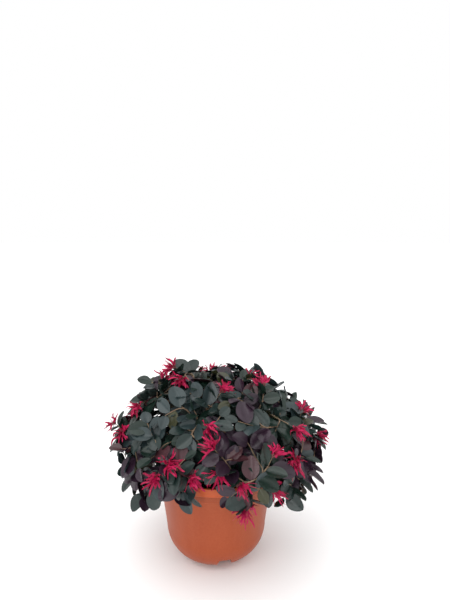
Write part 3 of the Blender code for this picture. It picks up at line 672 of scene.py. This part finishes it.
def make_soil(rng):
    """The potting mix, with its uneven surface, and the bark chips that lie on it."""
    gap = TOUCH_GAP * 3.0
    bottom = POT_FLOOR + TOUCH_GAP
    profile = [(0.0, bottom)]
    for z in (bottom, *LOW_INSIDE_HEIGHTS, ROUNDING_HEIGHT, SOIL_LEVEL - SOIL_EDGE_DROP - 0.002):
        profile.append((inner_radius(z) - gap, z))
    below_top = 1 + (len(profile) - 1) * SOIL_SEGMENTS
    edge = inner_radius(SOIL_LEVEL) - gap
    for k in range(SOIL_RINGS):
        profile.append((edge * (1.0 - k / SOIL_RINGS), SOIL_LEVEL))
    profile.append((0.0, SOIL_LEVEL))
    points, faces = turned(profile, SOIL_SEGMENTS)
    for point in points[below_top:]:
        point.z = soil_height(point.x, point.y)
    surface = Shape()
    surface.add(points, faces)
    surface.to_object("potting_mix_surface", soil_material(), "soil", ["soil"], 60.0)
    make_chips(rng, edge - 0.003)


def make_chips(rng, furthest):
    """Flat eight-sided chips, strewn over the mix out to a radius."""
    chips = Shape()
    corners = [Vector(c) for c in ((1, 0, 0), (-1, 0, 0), (0, 1, 0), (0, -1, 0), (0, 0, 1), (0, 0, -1))]
    sides = [(a, b, c) for a in (0, 1) for b in (2, 3) for c in (4, 5)]
    for _ in range(CHIP_COUNT):
        flat = furthest * math.sqrt(rng.random())
        turn = rng.uniform(0.0, 2.0 * math.pi)
        if flat < CHIP_FREE_RADIUS:
            continue
        x = flat * math.cos(turn)
        y = flat * math.sin(turn)
        size = rng.uniform(*CHIP_SIZES)
        stretch = Vector((size * rng.uniform(0.8, 2.0), size, size * rng.uniform(0.35, 0.8)))
        axis = Vector([rng.uniform(-0.3, 0.3), rng.uniform(-0.3, 0.3), 1.0]).normalized()
        spin = Quaternion(axis, rng.uniform(0.0, 2.0 * math.pi))
        place = Vector((x, y, soil_height(x, y) + size * 0.2))
        chips.add([place + spin @ (corner * stretch) for corner in corners], sides)
    chips.to_object("bark_chips_on_mix", chip_material(), "soil", (), 20.0)


# Stem and boughs


def stem_radius(z):
    """The main stem's mean radius at height z, with its root flare."""
    along = (z - SOIL_LEVEL) / (STEM_TOP - SOIL_LEVEL)
    flare = STEM_FLARE * math.exp(-(z - SOIL_LEVEL) / STEM_FLARE_HEIGHT)
    return STEM_RADIUS + (STEM_TIP_RADIUS - STEM_RADIUS) * along + flare


def stem_axis(z):
    """The middle of the main stem at height z: it leans a little."""
    along = (z - SOIL_LEVEL) / (STEM_TOP - SOIL_LEVEL)
    return STEM_LEAN * along + UP * z


def bark_relief(point, _turn=0.0):
    """Long shallow ridges and small knots in the bark."""
    ridge = noise.noise(Vector((point.x * 900.0, point.y * 900.0, point.z * 160.0)))
    knot = noise.noise(point * 220.0)
    return BARK_RELIEF * (ridge + 0.8 * knot)


def bough_path(index, steps):
    """The bough's middle line, from the main stem to the foot of its mass."""
    _, azimuth, elevation, tier = MASSES[index]
    end = CROWN_CENTRE + direction(azimuth, elevation) * BOUGH_END
    if tier == "top":
        sign = -1.0 if end.x < 0.0 else 1.0
        start = stem_axis(STEM_TOP) + Vector((sign * STEM_TIP_RADIUS * 0.52, 0.0, TOUCH_GAP))
        bend = start + UP * 0.018
    else:
        z = STEM_TOP - WHORL_DROPS[tier] + WHORL_STAGGER * (-1) ** index
        rise = WHORL_RISE[tier]
        clear = BOUGH_ROOT_RADIUS * math.tan(math.radians(rise))
        out = stem_radius(z - BOUGH_ROOT_RADIUS) * 1.04 + clear + TOUCH_GAP * 2.0
        start = stem_axis(z) + direction(azimuth, 0.0) * out
        bend = start + direction(azimuth, rise) * (end - start).length * 0.5
    return [bezier([start, bend, end], k / steps) for k in range(steps + 1)]


def make_limbs():
    """The main stem and its boughs, with the bark's relief, each bough's root run into the stem."""
    bark = bark_material()
    stem = Shape()
    bottom = SOIL_LEVEL - STEM_SINK
    path = [stem_axis(z) for z in evenly(bottom, STEM_TOP, STEM_RINGS)]
    radii = [stem_radius(max(p.z, SOIL_LEVEL)) for p in path]
    # The stem's last rings draw in, so that its top is rounded
    for k in range(4):
        radii[-1 - k] *= 1.0 - 0.16 * (3 - k)

    def root_relief(point, turn):
        """Four low root ridges that fade upwards, under the bark's own relief."""
        swell = math.exp(-max(0.0, point.z - SOIL_LEVEL) / (STEM_FLARE_HEIGHT * 1.6))
        return STEM_RADIUS * swell * 0.22 * math.cos(4.0 * turn + 0.6) + bark_relief(point)

    stem.add(*tube(path, radii, STEM_SIDES, root_relief))
    stem.to_object("main_stem_bark", bark, "bark", ["main_stem"])
    boughs = Shape()
    names = []
    for index in range(len(MASSES)):
        path = bough_path(index, BOUGH_STEPS)
        root = path[0] - (path[1] - path[0]).normalized() * ROOT_SINK
        path = [root] + path
        radii = evenly(BOUGH_ROOT_RADIUS, BOUGH_TIP_RADIUS, len(path) - 1)
        # A collar swells each bough where it leaves the stem
        for k in range(len(path)):
            radii[k] += 0.0009 * math.exp(-k / 1.8)
        boughs.add(*tube(path, radii, BOUGH_SIDES, bark_relief))
        names.append(MASSES[index][0].replace("mass", "bough"))
    boughs.to_object("boughs_bark", bark, "bark", names)


# The crown's space


def along_profile(profile, elevation):
    """The reach at an elevation, read straight between a profile's points."""
    for (low, near), (high, far) in zip(profile, profile[1:]):
        if elevation <= high:
            share = max(0.0, elevation - low) / (high - low)
            return near + (far - near) * share
    return profile[-1][1]


def crown_reach(out):
    """How far the crown reaches from its centre in the direction of a unit vector."""
    elevation = math.degrees(math.asin(max(-1.0, min(1.0, out.z))))
    flat = math.hypot(out.x, out.y) + 1e-9
    x = out.x / flat
    y = out.y / flat
    reach = max(x, 0.0) ** 2 * along_profile(REACH_RIGHT, elevation)
    reach += max(-x, 0.0) ** 2 * along_profile(REACH_LEFT, elevation)
    reach += max(y, 0.0) ** 2 * along_profile(REACH_BACK, elevation)
    reach += max(-y, 0.0) ** 2 * along_profile(REACH_FRONT, elevation)
    away = math.degrees(math.acos(max(-1.0, min(1.0, out.dot(direction(*DIP_PLACE))))))
    return reach - DIP_DEPTH * math.exp(-(away / DIP_WIDTH) ** 2)


def lowest_foliage(point):
    """The height that foliage stays above: it lifts at the front, where the lip shows."""
    flat = math.hypot(point.x, point.y) + 1e-9
    front = max(0.0, -point.y / flat) ** 6
    lip = POT_HEIGHT + LIP_SHOWING + max(0.0, flat - RIM_RADIUS + 0.005) * FRONT_EDGE_SLOPE
    return LOWEST_FOLIAGE + front * (lip - LOWEST_FOLIAGE)


def clear_of_pot(point):
    """Whether a point is outside the pot and above the potting mix."""
    flat = math.hypot(point.x, point.y)
    if point.z > POT_HEIGHT + ABOVE_RIM or flat > RIM_RADIUS + BESIDE_RIM:
        return True
    return flat < RIM_RADIUS - RIM_BREADTH and point.z > SOIL_LEVEL + ABOVE_MIX


def in_crown(point, spilling):
    """Whether a point is in the crown's space."""
    out = point - CROWN_CENTRE
    length = out.length
    if length > crown_reach(out / length) + REACH_SLACK or not clear_of_pot(point):
        return False
    return spilling or point.z > lowest_foliage(point)


AXES = [direction(azimuth, elevation) for _, azimuth, elevation, _ in MASSES]


def owner(out):
    """The index of the mass whose axis is nearest to a direction."""
    return max(range(len(AXES)), key=lambda k: AXES[k].dot(out))


def scattered_tips(rng):
    """Directions for the shoots' tips, evenly spread: outer shoots first, then inner ones."""
    tips = [(direction(*pair), True, True) for pair in BLOSSOMS]
    tips += [(direction(*pair), True, False) for pair in LEADERS]
    golden = math.pi * (3.0 - math.sqrt(5.0))
    spread = []
    for k in range(SPREAD_COUNT):
        z = LOWEST_TIP + (1.0 - LOWEST_TIP) * (k + 0.5) / SPREAD_COUNT
        flat = math.sqrt(1.0 - z * z)
        spread.append(Vector((flat * math.cos(k * golden), flat * math.sin(k * golden), z)))
    rng.shuffle(spread)
    for outer, spacing in ((True, TIP_SPACING), (False, INNER_TIP_SPACING)):
        nearest = math.cos(math.radians(spacing))
        for out in spread:
            share = TIP_SHARE if outer else INNER_REACH
            place = CROWN_CENTRE + out * crown_reach(out) * share
            if place.z < lowest_foliage(place) + 0.004:
                continue
            if all(out.dot(tip[0]) < nearest for tip in tips if tip[1] == outer):
                flowering = outer and out.y > 0.2 and rng.random() < BACK_BLOSSOM_SHARE
                tips.append((out, outer, flowering))
    return tips


# Foliage


def back_from_tip(path, distance):
    """The point and the outward tangent at a distance back along a path from its tip."""
    for near, far in zip(reversed(path[1:]), reversed(path[:-1])):
        span = (near - far).length
        tangent = (near - far) / span
        if distance <= span:
            return near - tangent * distance, tangent
        distance -= span
    return path[0], tangent


def leaf_half_width(s):
    """A leaf's half width at a share of its length: a short stalk, then a rounded oval blade."""
    if s <= STALK_SHARE:
        return STALK_HALF_WIDTH
    t = (s - STALK_SHARE) / (1.0 - STALK_SHARE)
    return max(STALK_HALF_WIDTH, 0.5 * math.sin(math.pi * t ** 0.93) ** 0.56)


def leaf_template(rng):
    """One leaf of unit length and width: its points along, across and up, and which are under it."""
    fold = rng.uniform(0.10, 0.34)
    curl = rng.uniform(-0.02, 0.16)
    cup = rng.uniform(-0.05, 0.12)
    wave = rng.uniform(0.0, 0.022)
    skew = rng.uniform(-0.05, 0.05)
    phase = rng.uniform(0.0, 6.0)
    points = []
    for row, s in enumerate(LEAF_ROWS):
        half = leaf_half_width(s)
        middle = skew * math.sin(math.pi * s)
        spine = -curl * s * s - 0.03 * s
        line = []
        for k in range(LEAF_COLUMNS):
            v = -1.0 + 2.0 * k / (LEAF_COLUMNS - 1)
            rise = fold * abs(v) * half * 0.62 + cup * (v * v) * half * 0.62
            rise += wave * math.sin(9.0 * s + phase + 2.0 * v) * abs(v)
            between_veins = 0.1 < abs(v) < 0.9
            quilt = VEIN_RELIEF * half * (1 if row % 2 else -1) if between_veins else 0.0
            midrib = MIDRIB_DEPTH * half if abs(v) < 0.1 else 0.0
            line.append((s, v * half + middle, spine + rise + quilt - midrib))
        points += line
    under = []
    for row in range(len(LEAF_ROWS)):
        for k in range(1, LEAF_COLUMNS - 1):
            x, y, z = points[row * LEAF_COLUMNS + k]
            under.append((x, y, z, True))
    top = [(x, y, z, False) for x, y, z in points]
    return np.array(top + under, dtype=np.float64)


def leaf_faces():
    """The faces that close a leaf: its top, its underside and its two ends."""
    rows = len(LEAF_ROWS)
    columns = LEAF_COLUMNS
    inner = columns - 2
    first_under = rows * columns

    def under(row, k):
        """The underside's point below a point of the top; along the edges they are one."""
        if k in (0, columns - 1):
            return row * columns + k
        return first_under + row * inner + k - 1

    faces = []
    for row in range(rows - 1):
        for k in range(columns - 1):
            low = row * columns + k
            faces.append((low, low + 1, low + columns + 1, low + columns))
            faces.append((under(row, k + 1), under(row, k), under(row + 1, k), under(row + 1, k + 1)))
    for row in (0, rows - 1):
        for k in range(columns - 1):
            corners = [row * columns + k, row * columns + k + 1, under(row, k + 1), under(row, k)]
            faces.append(tuple(dict.fromkeys(corners)))
    return faces


LEAF_FACES = leaf_faces()


def place_leaf(template, length, width, foot, along, normal):
    """A leaf's points in place."""
    across = normal.cross(along)
    x = template[:, 0] * length
    y = template[:, 1] * width
    z = template[:, 2] * length - template[:, 3] * LEAF_THICKNESS
    axes = np.array([along, across, normal])
    return np.array(foot) + np.stack((x, y, z), axis=1) @ axes


def leaf_bearing(tangent, lift, side, rng, terminal):
    """A leaf's direction and normal from its twig's tangent and the way the crown's surface faces."""
    sideways = tangent.cross(lift).normalized() * side
    sideways = Quaternion(tangent, math.radians(rng.uniform(-44, 44))) @ sideways
    spread = math.radians(rng.uniform(0, 20) if terminal else rng.uniform(42, 80))
    along = (tangent * math.cos(spread) + sideways * math.sin(spread)).normalized()
    loose = 0.60 if lift.z > 0.45 else 1.20
    facing = lift + Vector([rng.uniform(-loose, loose) for _ in range(3)])
    normal = facing - along * facing.dot(along)
    return along, normal.normalized()


def ribbon(path, width, face, thickness):
    """A thin closed ribbon along a path: wide across, thin along its face."""
    points = []
    faces = []
    last = len(path) - 1
    for k, middle in enumerate(path):
        ahead = (path[min(k + 1, last)] - path[max(k - 1, 0)]).normalized()
        flat = (face - ahead * face.dot(ahead)).normalized()
        across = ahead.cross(flat)
        share = k / last
        half = width * 0.5 * (0.42 + 0.58 * math.sin(math.pi * min(1.0, share * 0.62 + 0.26)))
        if k == last:
            half *= 0.55
        points += [middle + across * half, middle + flat * thickness * 0.5,
                   middle - across * half, middle - flat * thickness * 0.5]
    faces.append((0, 1, 2, 3))
    for k in range(last):
        for c in range(4):
            n = (c + 1) % 4
            faces.append((4 * k + c, 4 * k + n, 4 * k + 4 + n, 4 * k + 4 + c))
    faces.append(tuple(4 * last + c for c in range(4)))
    return points, faces


class Crown:
    """The crown while it grows: twigs, leaves by colour, petals and calyxes."""

    def __init__(self):
        self.rng = random.Random(SEED)
        self.twigs = Shape()
        self.leaves = {tone[0]: Shape() for tone in LEAF_TONES}
        self.petals = Shape()
        self.calyxes = Shape()
        self.templates = [leaf_template(random.Random(SEED * 7 + k)) for k in range(LEAF_TEMPLATES)]
        self.forks = [[] for _ in AXES]
        self.shoots = []

    def offer_forks(self, index, path, first, last):
        """Note places along a twig's middle line where others may branch from it."""
        total = sum((b - a).length for a, b in zip(path, path[1:]))
        for k in range(FORKS_PER_TWIG):
            from_tip = total * (1.0 - first - (last - first) * k / (FORKS_PER_TWIG - 1))
            self.forks[index].append(back_from_tip(path, from_tip))

    def grow_stems(self):
        """Each mass's own stem, on from its bough's tip."""
        for index, axis in enumerate(AXES):
            limb = bough_path(index, 4)
            ahead = (limb[-1] - limb[-2]).normalized()
            foot = limb[-1]
            end = CROWN_CENTRE + axis * crown_reach(axis) * MASS_STEM_SHARE
            curve = [foot, foot + ahead * (end - foot).length * 0.4, end]
            path = [foot - ahead * ROOT_SINK] + [bezier(curve, k / 10) for k in range(11)]
            radii = evenly(MASS_STEM_RADIUS, TWIG_ROOT_RADIUS, len(path) - 1)
            self.twigs.add(*tube(path, radii, 8, bark_relief))
            self.offer_forks(index, path[1:], 0.05, 0.97)

    def nearest_fork(self, index, tip):
        """The place on a mass's twigs that a new shoot best branches from."""
        best = None
        lowest_cost = math.inf
        for point, ahead in self.forks[index]:
            way = tip - point
            turn = way.angle(ahead)
            if turn > math.radians(WIDEST_FORK):
                continue
            cost = way.length * (1.0 + 0.35 * turn)
            if cost < lowest_cost:
                lowest_cost = cost
                best = (point, ahead)
        return best

    def grow_shoot(self, out, outer, flowering, tip=None):
        """A curved twig from the nearest fork to just short of the crown's edge."""
        rng = self.rng
        index = owner(out)
        spilling = tip is not None
        if not spilling:
            reach = crown_reach(out)
            inset = PETAL_LENGTH * 0.85 if flowering else LEAF_LENGTH * 0.75
            share = rng.uniform(0.93, 1.0) if outer else INNER_REACH * rng.uniform(0.86, 1.08)
            tip = CROWN_CENTRE + out * (reach * share - inset)
        fork = self.nearest_fork(index, tip)
        if fork is None:
            return
        start, ahead = fork
        length = (tip - start).length
        bend = start + ahead * length * 0.38 + UP * length * 0.08
        if spilling:
            bend = start.lerp(tip, 0.62) + UP * 0.016 + out * 0.012
        sway = Vector([rng.uniform(-1.0, 1.0) for _ in range(3)]) * length * 0.035
        path = []
        for k in range(TWIG_SPANS + 1):
            t = k / TWIG_SPANS
            path.append(bezier([start, bend, tip], t) + sway * math.sin(2.0 * math.pi * t))
        if not all(in_crown(p, spilling) for p in path[2:]):
            return
        radii = evenly(TWIG_ROOT_RADIUS, TWIG_TIP_RADIUS, TWIG_SPANS)
        self.twigs.add(*tube(path, radii, TWIG_SIDES))
        self.shoots.append((path, out, outer, flowering, spilling))
        self.forks[index] = [f for f in self.forks[index] if (f[0] - start).length > FORK_SPACING]
        self.offer_forks(index, path, 0.2, 0.6)

    def tone_of(self, out, spilling):
        """The leaf colour dealt to a shoot: plum more often low at the sides and over the rim."""
        rng = self.rng
        low_side = out.z < 0.25 and abs(out.x) > 0.75
        if (low_side or spilling) and rng.random() < 0.32:
            return "plum"
        pick = rng.random()
        for name, _, share in LEAF_TONES:
            pick -= share
            if pick <= 0.0:
                return name
        return LEAF_TONES[0][0]

    def grow_leaves(self, path, out, outer, flowering, spilling):
        """Leaves in turn on a shoot's two sides, smaller towards its tip."""
        rng = self.rng
        tone = self.tone_of(out, spilling)
        total = sum((b - a).length for a, b in zip(path, path[1:]))
        ranks = LEAVES_ON_OUTER_SHOOT if outer else LEAVES_ON_INNER_SHOOT
        for rank in range(ranks):
            from_tip = 0.0006 + LEAF_SPACING * (rank + (0.6 if flowering else 0.0))
            if from_tip > total * 0.86:
                return
            point, tangent = back_from_tip(path, from_tip)
            outward = (point - CROWN_CENTRE).normalized()
            terminal = rank == 0 and not flowering
            for attempt in range(LEAF_TRIES):
                lift = outward if spilling else (outward * 0.85 + UP * 0.5).normalized()
                side = -1.0 if rank % 2 else 1.0
                along, normal = leaf_bearing(tangent, lift, side, rng, terminal)
                size = rng.uniform(0.80, 1.18) * TIP_LEAF_SIZES[min(rank, 2)] * 0.96 ** attempt
                length = LEAF_LENGTH * size
                width = LEAF_WIDTH * size * rng.uniform(0.9, 1.12)
                middle = point + along * length * 0.55
                if not (in_crown(point + along * length, spilling) and clear_of_pot(middle)):
                    continue
                across = normal.cross(along) * width * 0.5
                if not (clear_of_pot(middle + across) and clear_of_pot(middle - across)):
                    continue
                template = self.templates[rng.randrange(len(self.templates))]
                points = place_leaf(template, length, width, point, along, normal)
                stray = rng.random() < STRAY_SHARE
                own_tone = rng.choice(LEAF_TONES)[0] if stray else tone
                self.leaves[own_tone].add(points, LEAF_FACES)
                break

    def grow_blossom(self, path, spilling):
        """A cluster of small flowers, each a calyx with four long curling petals."""
        rng = self.rng
        ahead = (path[-1] - path[-2]).normalized()
        if spilling:
            ahead = (ahead - UP * 1.3).normalized()
        side = ahead.orthogonal().normalized()
        across = ahead.cross(side)
        for k in range(rng.randint(*FLOWERS_IN_CLUSTER)):
            turn = 2.0 * math.pi * (k * 0.382 + rng.uniform(-0.05, 0.05))
            tilt = math.radians(rng.uniform(8, 66))
            round_way = side * math.cos(turn) + across * math.sin(turn)
            heading = ahead * math.cos(tilt) + round_way * math.sin(tilt)
            foot = path[-1] - ahead * 0.001
            neck = foot + heading * rng.uniform(0.0028, 0.0050)
            stalk = [foot, foot.lerp(neck, 0.5), neck, neck + heading * 0.0016]
            self.calyxes.add(*tube(stalk, CALYX_RADII, 7))
            self.grow_petals(neck, heading, spilling)

    def grow_petals(self, neck, heading, spilling):
        """One flower's petals: ribbons that curl, wave and droop."""
        rng = self.rng
        side = heading.orthogonal().normalized()
        across = heading.cross(side)
        for petal in range(PETALS_PER_FLOWER):
            turn = math.pi * (petal / 2.0 + rng.uniform(-0.12, 0.12))
            spread = math.radians(rng.uniform(10, 40))
            round_way = side * math.cos(turn) + across * math.sin(turn)
            along = heading * math.cos(spread) + round_way * math.sin(spread)
            length = PETAL_LENGTH * rng.uniform(0.62, 1.12)
            curl = rng.uniform(-0.5, 1.1)
            droop = rng.uniform(0.1, 0.55) + (0.4 if spilling else 0.0)
            wave = rng.uniform(0.0004, 0.0020)
            swing = along.cross(round_way).normalized()
            path = []
            for k in range(PETAL_STEPS + 1):
                t = k / PETAL_STEPS
                point = neck + along * length * t + round_way * curl * length * 0.28 * t * t
                point = point - UP * droop * length * 0.45 * t * t
                path.append(point + swing * wave * math.sin(7.0 * t + turn))
            if not in_crown(path[-1] + UP * PETALS_OVER_EDGE, spilling):
                continue
            width = PETAL_WIDTH * rng.uniform(0.8, 1.15)
            self.petals.add(*ribbon(path, width, round_way, PETAL_THICKNESS))

    def grow(self):
        """All shoots first, then the leaves and blossom on them."""
        self.grow_stems()
        for out, outer, flowering in scattered_tips(self.rng):
            self.grow_shoot(out, outer, flowering)
        for tip, flowering in SPILLS:
            self.grow_shoot((tip - CROWN_CENTRE).normalized(), True, flowering, tip)
        for path, out, outer, flowering, spilling in self.shoots:
            self.grow_leaves(path, out, outer, flowering, spilling)
            if flowering:
                self.grow_blossom(path, spilling)

    def to_objects(self):
        """The crown's pieces, each kind and colour joined apart."""
        masses = [name for name, _, _, _ in MASSES]
        self.twigs.to_object("twigs", twig_material(), "bark", masses)
        for name, colour, _ in LEAF_TONES:
            material = leaf_material(name, colour)
            self.leaves[name].to_object("leaves_" + name, material, "foliage", masses, 70.0)
        self.petals.to_object("petals", petal_material(), "foliage", masses, 60.0)
        self.calyxes.to_object("calyxes", calyx_material(), "foliage", masses)


# Floor, light and camera


def make_stage():
    """A plain white floor that runs on into the white sky."""
    bpy.ops.mesh.primitive_plane_add(size=FLOOR_SIZE, location=(0.0, 0.0, 0.0))
    floor = bpy.context.object
    floor.name = "floor"
    material = bpy.data.materials.new("floor")
    material.use_nodes = True
    shader = material.node_tree.nodes["Principled BSDF"]
    shader.inputs["Base Color"].default_value = (1.0, 1.0, 1.0, 1.0)
    shader.inputs["Roughness"].default_value = 1.0
    shader.inputs["Specular IOR Level"].default_value = 0.0
    floor.data.materials.append(material)
    floor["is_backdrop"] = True


def add_area(name, place, size, power, aim):
    """A round soft lamp aimed at a point."""
    data = bpy.data.lights.new(name, "AREA")
    data.shape = "DISK"
    data.size = size
    data.energy = power
    lamp = bpy.data.objects.new(name, data)
    lamp.location = place
    lamp.rotation_euler = (Vector(aim) - Vector(place)).to_track_quat("-Z", "Y").to_euler()
    bpy.context.scene.collection.objects.link(lamp)


def light_scene():
    """Soft daylight from all round, a little stronger from above and the front."""
    world = bpy.data.worlds.new("soft_daylight")
    world.use_nodes = True
    background = world.node_tree.nodes["Background"]
    background.inputs["Strength"].default_value = 1.0
    sky = world.node_tree
    place = sky.nodes.new("ShaderNodeTexCoord")
    height = sky.nodes.new("ShaderNodeSeparateXYZ")
    band = sky.nodes.new("ShaderNodeMapRange")
    band.inputs["From Min"].default_value = SKY_EDGE
    band.inputs["To Min"].default_value = 1.0
    band.inputs["To Max"].default_value = SKY_TOP
    sky.links.new(place.outputs["Generated"], height.inputs["Vector"])
    sky.links.new(height.outputs["Z"], band.inputs["Value"])
    sky.links.new(band.outputs["Result"], background.inputs["Color"])
    scene = bpy.context.scene
    scene.world = world
    scene.view_settings.view_transform = "Standard"
    scene.view_settings.look = "None"
    for lamp in LAMPS:
        add_area(*lamp)


def add_camera():
    """The photo's viewpoint."""
    data = bpy.data.cameras.new("camera")
    data.sensor_width = CAMERA_SENSOR
    data.lens = CAMERA_LENS
    data.clip_start = 0.01
    camera = bpy.data.objects.new("camera", data)
    camera.location = (CAMERA_SIDE, -CAMERA_DISTANCE, CAMERA_HEIGHT)
    camera.rotation_euler = (math.radians(90.0 - CAMERA_PITCH), 0.0, 0.0)
    bpy.context.scene.collection.objects.link(camera)
    bpy.context.scene.camera = camera


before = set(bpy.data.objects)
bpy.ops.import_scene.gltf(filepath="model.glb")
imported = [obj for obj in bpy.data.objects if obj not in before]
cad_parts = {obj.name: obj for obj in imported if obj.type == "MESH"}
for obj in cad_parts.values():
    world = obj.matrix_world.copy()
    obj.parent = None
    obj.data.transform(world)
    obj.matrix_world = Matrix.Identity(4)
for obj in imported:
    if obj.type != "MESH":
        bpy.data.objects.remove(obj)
cad_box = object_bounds()
make_pot()
make_soil(random.Random(SEED + 1))
make_limbs()
crown = Crown()
crown.grow()
crown.to_objects()
make_stage()
light_scene()
add_camera()
boxes = {"cad": cad_box, "visual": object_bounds()}
{name: [list(map(float, corner)) for corner in box] for name, box in boxes.items()}
